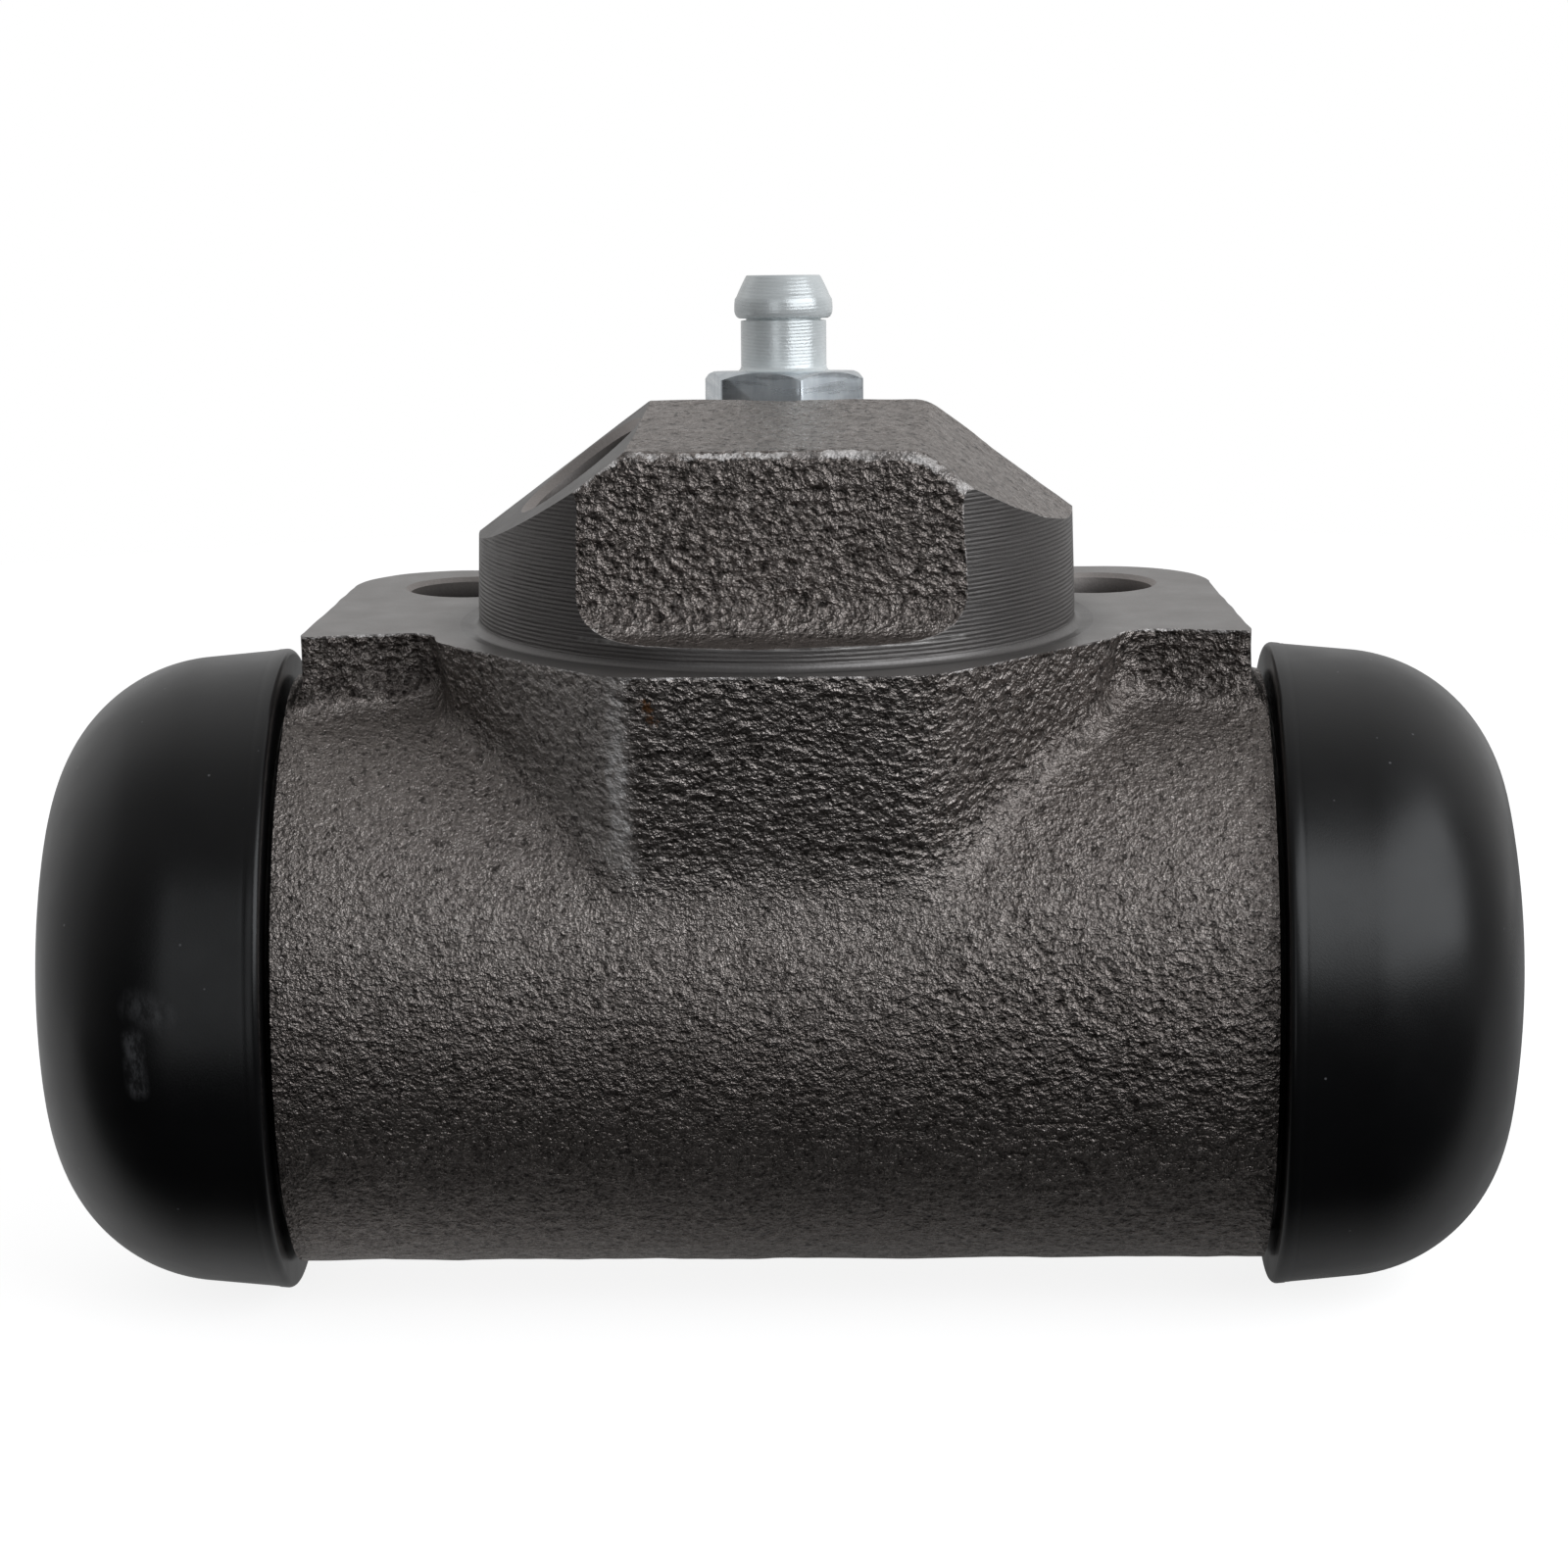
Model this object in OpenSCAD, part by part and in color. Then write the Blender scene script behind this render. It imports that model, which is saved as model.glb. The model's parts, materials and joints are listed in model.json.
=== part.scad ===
// Drum brake wheel cylinder: an iron casting bored right through, with a round
// pilot and a two-hole flange that bolt to the backing plate. Two pistons slide
// in the bore behind rubber cups, a spring keeps the cups seated, a rubber boot
// closes each end and a bleeder screw stands beside the inlet port.
// Frame: origin on the pilot axis at the mounting face, X along the bore,
// Z out of the mounting face. Millimetres.

/* [Bore] */
// Diameter of the bore
bore_d = 28.6; // [26:0.1:31]
// Length of the bore, from one neck's end to the other
bore_len = 74; // [72:0.5:77]
// Distance from the mounting face down to the bore axis
bore_drop = 22.8; // [22.4:0.1:26]
// Chamfer at each mouth of the bore
bore_chamfer = 0.8; // [0.4:0.1:1.2]

/* [Barrel casting] */
// Wall of the as-cast barrel around the bore
barrel_wall = 4.7; // [4.2:0.1:5.4]
// Length of the as-cast barrel between its two shoulders
barrel_len = 62; // [61:0.5:64]
// Wall of the turned neck that carries a boot
neck_wall = 3; // [2.6:0.1:3.4]
// Width of the groove in the neck that holds the boot's bead
neck_groove_w = 2.4; // [1.8:0.1:2.8]
// Depth of the groove in the neck
neck_groove_depth = 0.9; // [0.5:0.1:1.2]
// Distance of the groove from the barrel's shoulder
neck_groove_inset = 1.8; // [1.4:0.1:2.2]

/* [Flange] */
// Width of the flange rim around the front of the pilot
flange_rim = 2.3; // [2:0.1:3]
// Half length of the two ears along the bore
ear_half_len = 30; // [28.5:0.5:30.5]
// How far the ears reach in front of the pilot axis
ear_front = 5; // [3:0.5:8]
// How far the ears reach behind the pilot axis
ear_back = 20.5; // [19.5:0.5:23]
// Depth of the ears below the mounting face
ear_depth = 11; // [10.5:0.5:13]
// Corner radius at the back of the ears
ear_corner_r = 7; // [4:0.5:8]
// How much each ear narrows towards its back corner
ear_taper = 1.5; // [0:0.1:2]

/* [Flange bolt holes] */
// Distance between the two bolt holes
bolt_spacing = 41.4; // [41:0.1:43]
// Distance of the bolt holes behind the pilot axis
bolt_back = 13.5; // [13:0.1:14.5]
// Diameter of the tapped bolt holes
bolt_hole_d = 8; // [6.5:0.1:8.4]
// Depth of the bolt holes
bolt_depth = 9.6; // [8:0.1:9.8]
// Chamfer at the mouth of the bolt holes
bolt_chamfer = 0.3; // [0.1:0.1:0.5]

/* [Pedestal] */
// Angle between the front face and each slanted side face
facet_turn = 49; // [42:1:52]
// How far the foot of the front face lies behind the barrel's front
foot_front_inset = 2.2; // [1.5:0.1:3.5]
// How much closer to the pilot axis the slanted faces are at their foot
foot_side_inset = 3.1; // [1:0.1:4]

/* [Pilot] */
// Diameter of the turned pilot
pilot_d = 38.1; // [37.5:0.1:38.6]
// Height of the pilot's full turned ring
pilot_ring_h = 1.3; // [1:0.1:4]
// How much the turned wall narrows from the ring to the top
pilot_lead = 0.3; // [0.2:0.05:0.5]
// Height of the pilot block at its ridge
pilot_h = 14.15; // [13.4:0.05:15]
// Distance of the two as-cast flats from the pilot axis
pilot_flat = 14.7; // [13.8:0.1:16]
// Draft of the as-cast top and shoulders, falling from the ridge to the flats
block_draft = 5.6; // [4:0.1:7]
// How much lower the block is behind its ridge
back_step = 1.5; // [1.2:0.1:2]
// Angle of the two shoulders that slant down from the top
shoulder_angle = 37; // [34:0.5:39]
// Height at which the as-cast shoulder meets the pilot's wall
shoulder_z = 7.1; // [6.6:0.1:8]
// Width of the relief groove around the foot of the pilot
relief_w = 1.2; // [0.6:0.1:1.3]
// Depth of the relief groove
relief_depth = 0.5; // [0.2:0.1:0.8]

/* [Inlet port] */
// Depth milled off the shoulder that holds the inlet port
port_mill = 1.1; // [0.8:0.1:1.2]
// Distance of the port's mouth from the pilot axis, along the bore
port_offset = 12.1; // [11.5:0.1:12.8]
// Distance of the port's mouth in front of the pilot axis
port_front = 5.2; // [4.6:0.1:5.6]
// Tilt of the port towards the front
port_tilt = 2.1; // [1:0.1:3]
// Diameter of the tapped port
port_d = 8.5; // [7:0.1:8.8]
// Depth of the tapped port
port_depth = 11; // [9:0.1:12]
// Chamfer at the port's mouth
port_chamfer = 0.5; // [0.2:0.1:0.8]
// Diameter of the fluid passage from the port to the bore
passage_d = 3.2; // [2:0.1:3.6]

/* [Bleeder screw] */
// Place of the bleeder screw along the bore
bleeder_x = 0.4; // [-1:0.1:1]
// Place of the bleeder screw behind the pilot axis
bleeder_y = 10; // [9.5:0.1:10.5]
// Tilt of the bleeder screw towards the back
bleeder_tilt = 6; // [4:0.5:8]
// Height of the middle of the spot face that the hexagon stands over
spot_z = 10.3; // [9.5:0.1:11]
// Diameter of the spot face
spot_d = 22; // [20:0.1:22.4]
// Width across the flats of the hexagon
hex_af = 9.5; // [8:0.1:10.4]
// Height of the hexagon
hex_h = 4.3; // [3.6:0.1:5]
// Gap between the hexagon and its spot face
hex_gap = 0.1; // [0.05:0.01:0.2]
// Turn of the hexagon about its axis
hex_turn = 43; // [0:1:60]
// Diameter of the screw's threaded shank
thread_d = 7.8; // [7:0.1:8]
// Length of the threaded shank below the hexagon
thread_len = 12; // [10.5:0.1:12.5]
// Radial running clearance of the shank in its hole
thread_fit = 0.06; // [0.03:0.01:0.09]
// Diameter of the plain nose below the thread
nose_d = 5.4; // [4.6:0.1:5.8]
// Length of the plain nose and its cone
nose_len = 5; // [4.6:0.1:5.6]
// Clearance of the nose in its hole and above its seat
nose_gap = 0.4; // [0.3:0.05:0.5]
// Diameter of the nipple's neck
nipple_d = 5.6; // [5:0.1:5.9]
// Length of the nipple's neck
nipple_len = 3.4; // [2.4:0.1:4.4]
// Diameter of the nipple's barb
barb_d = 6.5; // [6.2:0.1:7]
// Length of the nipple's barb
barb_len = 2.85; // [2.4:0.05:3.4]
// Diameter of the nipple's flat tip
tip_d = 4.9; // [4:0.1:5.4]
// Diameter of the drilling along the screw
drilling_d = 2; // [1.4:0.1:2.2]
// Diameter of the cross drilling through the nose
cross_d = 1.6; // [1:0.1:1.8]
// Distance of the cross drilling below the thread
cross_drop = 1.6; // [1.4:0.1:2]

/* [Boots] */
// Gap between the barrel's shoulder and the boot's lip
boot_gap = 0.5; // [0.3:0.1:0.8]
// Length of a boot, lip to end
boot_len = 16.3; // [15.8:0.1:18]
// Thickness of the boot over the neck
boot_lip_wall = 3.45; // [3:0.05:4]
// Thickness of the boot's cap
boot_wall = 2.2; // [1.6:0.1:2.8]
// Radius of the boot's rounded corner
boot_corner_r = 10.9; // [9.5:0.1:11.4]
// Radius of the boot's slightly domed end
boot_dome_r = 58; // [45:1:90]
// Draft of the boot's side
boot_draft = 4.4; // [2:0.1:5]
// Diameter of the push rod hole in the boot's end
boot_hole_d = 13; // [12.4:0.1:14]
// Clearance between the boot and the neck
boot_fit = 0.05; // [0.02:0.01:0.1]

/* [Pistons] */
// How deep each piston sits behind the bore's mouth
piston_recess = 2.8; // [2:0.1:3.6]
// Length of a piston
piston_len = 16; // [15:0.5:17]
// Radial running clearance of a piston in the bore
piston_fit = 0.04; // [0.02:0.01:0.08]
// Chamfer on a piston's edges
piston_chamfer = 0.6; // [0.3:0.1:1]
// Diameter of the push rod socket
socket_d = 11; // [10:0.1:12]
// Depth of the socket's straight wall
socket_depth = 8; // [6:0.5:9]
// Depth of the cone at the bottom of the socket
socket_cone = 2.5; // [1.5:0.1:3]

/* [Cups and spring] */
// Length of a rubber cup
cup_len = 7; // [6:0.1:7.5]
// Thickness of the cup's back
cup_back = 2.8; // [2.2:0.1:3.2]
// Thickness of the cup's lip
cup_lip = 2.1; // [1.6:0.1:2.4]
// How much thicker the lip is at its root
cup_root = 1.2; // [0.6:0.1:1.6]
// Radial running clearance of a cup in the bore
cup_fit = 0.03; // [0.02:0.01:0.06]
// Thickness of the cup expander's sheet
sheet = 0.8; // [0.6:0.1:1]
// Gap between the expander and the cup
expander_gap = 0.1; // [0.05:0.01:0.2]
// Mean diameter of the spring
spring_d = 15; // [13:0.1:15.4]
// Diameter of the spring's wire
wire_d = 1.2; // [0.9:0.1:1.5]
// Turns of the spring
spring_turns = 6; // [4:1:7]
// Gap between the spring's ends and the expanders
spring_gap = 0.1; // [0.05:0.01:0.2]
// Diameter of the hole in the middle of an expander
expander_hole_d = 6; // [4:0.5:8]

/* [Hidden] */
$fn = 96;
cut = 1;
skin = 0.01;
sink = 0.3;
quarter = 90;

cast_iron = [0.29, 0.28, 0.27];
zinc = [0.72, 0.76, 0.79];
black_rubber = [0.07, 0.07, 0.08];
aluminium = [0.68, 0.69, 0.71];
seal_rubber = [0.12, 0.12, 0.12];
pressed_steel = [0.55, 0.55, 0.53];
spring_steel = [0.42, 0.43, 0.45];

bore_r = bore_d / 2;
barrel_r = bore_r + barrel_wall;
neck_r = bore_r + neck_wall;
pilot_r = pilot_d / 2;
flange_r = pilot_r + flange_rim;
foot_front = barrel_r - foot_front_inset;
foot_depth = bore_drop - sqrt(barrel_r * barrel_r - foot_front * foot_front) + sink;

shoulder_slope = tan(shoulder_angle);
port_fall = (port_mill + port_front * tan(port_tilt)) / cos(shoulder_angle);
port_z = shoulder_z - port_fall + (pilot_r - port_offset) * shoulder_slope;
thread_hole_r = thread_d / 2 + thread_fit;
thread_bottom = hex_gap - thread_len;
seat_z = thread_bottom - nose_len - nose_gap;
nose_cone = nose_d / 2 - drilling_d / 2;

boot_lip_r = neck_r + boot_lip_wall;
boot_lip_x = barrel_len / 2 + boot_gap;
boot_arc_r = boot_lip_r - (boot_len - boot_corner_r) * tan(boot_draft) - boot_corner_r / cos(boot_draft);
boot_dome_s = boot_len - boot_dome_r;
boot_arc_s = boot_dome_s + sqrt(pow(boot_dome_r - boot_corner_r, 2) - pow(boot_arc_r, 2));
boot_end_angle = atan2(boot_arc_r, boot_arc_s - boot_dome_s);
boot_inner_s = boot_arc_s + (boot_corner_r - boot_wall) * sin(boot_draft);

piston_rest = bore_len / 2 - piston_recess - piston_len;
piston_r = bore_r - piston_fit;
cup_r = bore_r - cup_fit;
cup_inner_r = cup_r - cup_lip;
cup_root_r = cup_inner_r - cup_root;
expander_back = piston_rest - cup_back - expander_gap;
spring_half = expander_back - sheet - spring_gap;
cup_lip_x = piston_rest - cup_len;
closed_turns = 0.75;
closed_pitch = wire_d + spring_gap;
rings_per_turn = 24;
wire_sides = 8;
dome_steps = 4;

// Points along an arc, the ends included
function arc(c, r, from, to, steps = 12) = [
    for (i = [0:steps]) let (a = from + (to - from) * i / steps) c + r * [cos(a), sin(a)]
];

// Where two lines cross, each given by the angle of its normal and its distance from the origin
function crossing(a, a_dist, b, b_dist) =
    let (d = sin(b - a)) [
        (a_dist * sin(b) - b_dist * sin(a)) / d,
        (b_dist * cos(a) - a_dist * cos(b)) / d
    ];

// Turns a shape made about Z so that it lies along the bore, at distance x
module along_bore(x = 0) {
    translate([x, 0, -bore_drop]) rotate([0, quarter, 0]) children();
}

// Eight-sided outline of the pedestal: front, slanted and end faces, alike at the back
module pedestal_outline(front, side, end) {
    right_front = crossing(-quarter, front, facet_turn - quarter, side);
    right_end = crossing(facet_turn - quarter, side, 0, end);
    corners = [right_front, right_end];
    polygon([
        for (p = corners) p,
        for (i = [1, 0]) [corners[i].x, -corners[i].y],
        for (p = corners) -p,
        for (i = [1, 0]) [-corners[i].x, corners[i].y]
    ]);
}

// Block that joins the flange to the barrel and leans in towards its foot
module pedestal() {
    hull() {
        translate([0, 0, -skin])
            linear_extrude(skin) pedestal_outline(flange_r, flange_r, flange_r);
        translate([0, 0, -foot_depth])
            linear_extrude(skin)
                pedestal_outline(foot_front, flange_r - foot_side_inset, flange_r - foot_side_inset);
    }
}

// Two ears of the flange, rounded at the back
module ears() {
    back_half = ear_half_len - ear_taper;
    corner = [back_half - ear_corner_r, ear_back - ear_corner_r];
    right_side = concat([[ear_half_len, -ear_front]], arc(corner, ear_corner_r, 0, quarter));
    left_side = [for (i = [len(right_side) - 1:-1:0]) [-right_side[i].x, right_side[i].y]];
    translate([0, 0, -ear_depth])
        linear_extrude(ear_depth) polygon(concat(right_side, left_side));
}

// Section of the pilot block at distance y, its top and shoulders set in from those of the ridge
module block_section(y, inset) {
    top = pilot_h - inset;
    outer = pilot_r + cut;
    outer_z = shoulder_z - inset / cos(shoulder_angle) - cut * shoulder_slope;
    top_x = outer - (top - outer_z) / shoulder_slope;
    translate([0, y, 0])
        rotate([quarter, 0, 0])
            linear_extrude(skin, center = true)
                polygon([
                    [-outer, -sink], [outer, -sink], [outer, outer_z],
                    [top_x, top], [-top_x, top], [-outer, outer_z]
                ]);
}

// Pilot: a full turned ring, and above it a block with as-cast flats, top and slanting shoulders
module pilot() {
    fall = pilot_flat * tan(block_draft);
    translate([0, 0, -sink]) cylinder(r = pilot_r, h = pilot_ring_h + sink);
    intersection() {
        translate([0, 0, pilot_ring_h - sink])
            cylinder(r1 = pilot_r, r2 = pilot_r - pilot_lead, h = pilot_h - pilot_ring_h + sink);
        union() {
            hull() {
                block_section(-pilot_flat, fall);
                block_section(0, 0);
            }
            hull() {
                block_section(-cut, back_step);
                block_section(pilot_flat, back_step + fall);
            }
        }
    }
}

// Bore with its chamfered mouths
module bore() {
    half = bore_len / 2;
    along_bore() cylinder(r = bore_r, h = bore_len + 2 * cut, center = true);
    for (side = [0, 1])
        mirror([side, 0, 0])
            along_bore(half - bore_chamfer)
                cylinder(r1 = bore_r, r2 = bore_r + bore_chamfer + cut, h = bore_chamfer + cut);
}

// Groove around each neck for the boot's bead
module neck_grooves() {
    for (side = [0, 1])
        mirror([side, 0, 0])
            along_bore(barrel_len / 2 + neck_groove_inset)
                rotate_extrude()
                    translate([neck_r - neck_groove_depth, 0])
                        square([neck_groove_depth + cut, neck_groove_w]);
}

// Tapped hole with a chamfered mouth, drilled down from z = 0
module tapped_hole(d, depth, chamfer) {
    translate([0, 0, -depth]) cylinder(d = d, h = depth + cut);
    translate([0, 0, -chamfer]) cylinder(d1 = d, d2 = d + 2 * (chamfer + cut), h = chamfer + cut);
}

// Milled shoulder, tapped inlet port and the passage from it to the bore
module inlet() {
    run = (port_z + bore_drop) / cos(shoulder_angle);
    foot = (pilot_r - port_offset) / cos(shoulder_angle) + cut;
    translate([-port_offset, -port_front, port_z]) rotate([port_tilt, -shoulder_angle, 0]) {
        translate([-foot, -pilot_d, 0]) cube([foot + pilot_d, 2 * pilot_d, pilot_r]);
        tapped_hole(port_d, port_depth, port_chamfer);
        translate([0, 0, -run]) cylinder(d = passage_d, h = run);
    }
}

// Places a shape made about Z on the middle of the bleeder's spot face
module at_bleeder() {
    translate([bleeder_x, bleeder_y, spot_z]) rotate([-bleeder_tilt, 0, 0]) children();
}

// Spot face, tapped hole, nose hole and passage of the bleeder screw
module bleeder_hole() {
    run = spot_z + bore_drop;
    at_bleeder() {
        cylinder(d = spot_d, h = pilot_h);
        translate([0, 0, thread_bottom - nose_gap])
            cylinder(r = thread_hole_r, h = cut + nose_gap - thread_bottom);
        translate([0, 0, seat_z + nose_cone])
            cylinder(r = nose_d / 2 + nose_gap, h = thread_bottom - seat_z - nose_cone);
        translate([0, 0, seat_z])
            cylinder(r1 = drilling_d / 2 + nose_gap, r2 = nose_d / 2 + nose_gap, h = nose_cone);
        translate([0, 0, -run]) cylinder(d = drilling_d, h = run + seat_z + cut);
    }
}

// Grey iron casting with its machined bore, necks, flange face, pilot and ports
module cylinder_body() {
    color(cast_iron)
        difference() {
            union() {
                along_bore() cylinder(r = barrel_r, h = barrel_len, center = true);
                along_bore() cylinder(r = neck_r, h = bore_len, center = true);
                ears();
                pedestal();
                pilot();
            }
            bore();
            neck_grooves();
            translate([0, 0, -relief_depth])
                difference() {
                    cylinder(r = pilot_r + relief_w, h = relief_depth + skin);
                    translate([0, 0, -cut]) cylinder(r = pilot_r, h = relief_depth + 2 * cut);
                }
            for (side = [-1, 1])
                translate([side * bolt_spacing / 2, bolt_back, 0])
                    tapped_hole(bolt_hole_d, bolt_depth, bolt_chamfer);
            inlet();
            bleeder_hole();
        }
}

// Zinc-plated bleeder screw: hexagon, nipple with a barb, shank, nose and cone
module bleeder_screw() {
    hex_r = hex_af / 2 / cos(30);
    hex_corner = hex_r - hex_af / 2;
    barb_land = 0.6;
    barb_shoulder = 0.3;
    nipple_z = hex_h + nipple_len;
    tip_z = nipple_z + barb_len;
    color(zinc)
        at_bleeder() translate([0, 0, hex_gap])
            difference() {
                union() {
                    intersection() {
                        rotate(hex_turn) cylinder(r = hex_r, h = hex_h, $fn = 6);
                        union() {
                            cylinder(r = hex_r + cut, h = hex_h - hex_corner);
                            translate([0, 0, hex_h - hex_corner])
                                cylinder(r1 = hex_r, r2 = hex_af / 2, h = hex_corner);
                        }
                    }
                    rotate_extrude()
                        polygon([
                            [0, -thread_len - nose_len], [drilling_d / 2, -thread_len - nose_len],
                            [nose_d / 2, -thread_len - nose_len + nose_cone], [nose_d / 2, -thread_len],
                            [thread_d / 2, -thread_len], [thread_d / 2, sink],
                            [nipple_d / 2, sink], [nipple_d / 2, nipple_z],
                            [barb_d / 2, nipple_z + barb_shoulder],
                            [barb_d / 2, nipple_z + barb_shoulder + barb_land],
                            [tip_d / 2, tip_z], [0, tip_z]
                        ]);
                }
                translate([0, 0, -thread_len - cross_drop])
                    cylinder(d = drilling_d, h = thread_len + cross_drop + tip_z + cut);
                translate([0, 0, -thread_len - cross_drop])
                    rotate([quarter, 0, 0]) cylinder(d = cross_d, h = thread_d, center = true);
            }
}

// Rubber boot: a thick lip over the neck with a bead in its groove, and a domed cap with a rod hole
module boot() {
    dome = [boot_dome_s, 0];
    corner = [boot_arc_s, boot_arc_r];
    hole_r = boot_hole_d / 2;
    inner_r = neck_r + boot_fit;
    inner_dome_r = boot_dome_r - boot_wall;
    bead_r = neck_r - neck_groove_depth + boot_fit;
    bead_from = neck_groove_inset - boot_gap + boot_fit;
    bead_to = neck_groove_inset - boot_gap + neck_groove_w - boot_fit;
    side_angle = quarter - boot_draft;
    outside = concat(
        [[0, inner_r], [0, boot_lip_r]],
        arc(corner, boot_corner_r, side_angle, boot_end_angle),
        arc(dome, boot_dome_r, boot_end_angle, asin(hole_r / boot_dome_r), dome_steps)
    );
    inside = concat(
        arc(dome, inner_dome_r, asin(hole_r / inner_dome_r), boot_end_angle, dome_steps),
        arc(corner, boot_corner_r - boot_wall, boot_end_angle, side_angle),
        [[boot_inner_s, inner_r], [bead_to, inner_r], [bead_to, bead_r]],
        [[bead_from, bead_r], [bead_from, inner_r]]
    );
    color(black_rubber)
        along_bore(boot_lip_x)
            rotate_extrude() polygon([for (p = concat(outside, inside)) [p.y, p.x]]);
}

// Aluminium piston with a socket for the push rod in its outer end
module piston() {
    outer = piston_rest + piston_len;
    socket_r = socket_d / 2;
    color(aluminium)
        along_bore()
            rotate_extrude()
                polygon([
                    [0, piston_rest], [piston_r - piston_chamfer, piston_rest],
                    [piston_r, piston_rest + piston_chamfer], [piston_r, outer - piston_chamfer],
                    [piston_r - piston_chamfer, outer], [socket_r, outer],
                    [socket_r, outer - socket_depth], [0, outer - socket_depth - socket_cone]
                ]);
}

// Rubber cup with its lip towards the fluid
module cup() {
    color(seal_rubber)
        along_bore()
            rotate_extrude()
                polygon([
                    [0, piston_rest], [cup_r, piston_rest], [cup_r, cup_lip_x],
                    [cup_inner_r, cup_lip_x], [cup_root_r, piston_rest - cup_back],
                    [0, piston_rest - cup_back]
                ]);
}

// Pressed steel expander: a plate that carries the spring and a flare that keeps the cup's lip out
module cup_expander() {
    plate_r = spring_d / 2 + wire_d / 2 + sheet + expander_gap;
    flare_x = cup_lip_x + sheet;
    lip_share = sheet / (cup_len - cup_back);
    flare_r = cup_inner_r - (cup_inner_r - cup_root_r) * lip_share - expander_gap;
    front = expander_back - sheet;
    color(pressed_steel)
        along_bore()
            rotate_extrude()
                polygon([
                    [expander_hole_d / 2, expander_back], [plate_r, expander_back],
                    [flare_r, flare_x], [flare_r - sheet, flare_x],
                    [plate_r - sheet, front], [expander_hole_d / 2, front]
                ]);
}

// Place along the bore of the spring's wire after a number of turns, with closed end turns
function spring_x(turn) =
    let (
        length = 2 * spring_half - wire_d,
        closed = closed_turns * closed_pitch,
        open_pitch = (length - 2 * closed) / (spring_turns - 2 * closed_turns)
    )
    turn < closed_turns ? turn * closed_pitch - length / 2
    : turn > spring_turns - closed_turns ? length / 2 - (spring_turns - turn) * closed_pitch
    : closed + (turn - closed_turns) * open_pitch - length / 2;

// Coil spring: a round wire swept along the helix
module return_spring() {
    rings = spring_turns * rings_per_turn;
    points = [
        for (i = [0:rings], j = [0:wire_sides - 1])
            let (
                turn = i / rings_per_turn,
                around = 360 * j / wire_sides,
                r = spring_d / 2 + wire_d / 2 * cos(around)
            )
            [
                spring_x(turn) + wire_d / 2 * sin(around),
                r * cos(360 * turn),
                r * sin(360 * turn) - bore_drop
            ]
    ];
    sides = [
        for (i = [0:rings - 1], j = [0:wire_sides - 1])
            let (a = i * wire_sides, b = a + wire_sides, k = (j + 1) % wire_sides)
            [a + j, a + k, b + k, b + j]
    ];
    first_end = [for (j = [wire_sides - 1:-1:0]) j];
    last_end = [for (j = [0:wire_sides - 1]) rings * wire_sides + j];
    color(spring_steel)
        polyhedron(points, concat(sides, [first_end, last_end]));
}

// Twin pieces are made on the right and mirrored to the left
module left() {
    mirror([1, 0, 0]) children();
}

cylinder_body();
bleeder_screw();
left() boot();  // left_boot
boot();  // right_boot
left() piston();  // left_piston
piston();  // right_piston
left() cup();  // left_cup
cup();  // right_cup
left() cup_expander();  // left_cup_expander
cup_expander();  // right_cup_expander
return_spring();
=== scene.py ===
import bpy
import bmesh
import json
import math
import numpy as np
from mathutils import Matrix, Vector, noise

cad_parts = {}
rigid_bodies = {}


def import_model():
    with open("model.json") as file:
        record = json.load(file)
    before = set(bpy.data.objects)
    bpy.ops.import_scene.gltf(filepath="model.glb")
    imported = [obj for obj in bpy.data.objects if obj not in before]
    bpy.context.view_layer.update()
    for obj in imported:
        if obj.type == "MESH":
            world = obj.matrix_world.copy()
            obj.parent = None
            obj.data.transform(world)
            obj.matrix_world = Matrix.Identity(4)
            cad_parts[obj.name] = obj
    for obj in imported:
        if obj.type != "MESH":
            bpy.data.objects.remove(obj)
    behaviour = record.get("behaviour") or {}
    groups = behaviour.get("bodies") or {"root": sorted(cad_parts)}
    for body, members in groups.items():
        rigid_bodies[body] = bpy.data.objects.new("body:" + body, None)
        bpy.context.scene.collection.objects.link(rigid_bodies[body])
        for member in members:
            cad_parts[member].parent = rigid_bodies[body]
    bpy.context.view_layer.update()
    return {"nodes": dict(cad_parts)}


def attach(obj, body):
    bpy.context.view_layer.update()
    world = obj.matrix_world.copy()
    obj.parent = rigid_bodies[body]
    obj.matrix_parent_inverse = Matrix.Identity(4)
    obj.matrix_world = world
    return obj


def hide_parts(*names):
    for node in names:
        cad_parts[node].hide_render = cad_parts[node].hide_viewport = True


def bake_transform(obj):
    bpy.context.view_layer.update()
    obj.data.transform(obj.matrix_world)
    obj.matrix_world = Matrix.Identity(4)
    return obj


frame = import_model()
nodes = frame["nodes"]
scene = bpy.context.scene
MM = 0.001


# Camera
# A long lens a third of a metre in front of the barrel and a little above the flange,
# turned a touch to the left, as the picture was taken.
IMAGE_SIDE = 1600
FOCAL_PIXELS = 5275
SENSOR_MM = 36
camera_place = Vector((7.14, -326.9, 55.1)) * MM
yaw = math.radians(1.19)
pitch = math.radians(11.40)
roll = math.radians(-0.59)
level = Vector((-math.sin(yaw), math.cos(yaw), 0))
sight = level * math.cos(pitch) - Vector((0, 0, math.sin(pitch)))
across = Vector((math.cos(yaw), math.sin(yaw), 0))
upward = level * math.sin(pitch) + Vector((0, 0, math.cos(pitch)))
camera_right = across * math.cos(roll) + upward * math.sin(roll)
camera_up = upward * math.cos(roll) - across * math.sin(roll)
camera_data = bpy.data.cameras.new("camera")
camera_data.sensor_width = SENSOR_MM
camera_data.lens = FOCAL_PIXELS / IMAGE_SIDE * SENSOR_MM
camera_data.clip_start = 0.01
camera = bpy.data.objects.new("camera", camera_data)
turn = Matrix((camera_right, camera_up, -sight)).transposed().to_4x4()
camera.matrix_world = Matrix.Translation(camera_place) @ turn
scene.collection.objects.link(camera)
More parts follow.
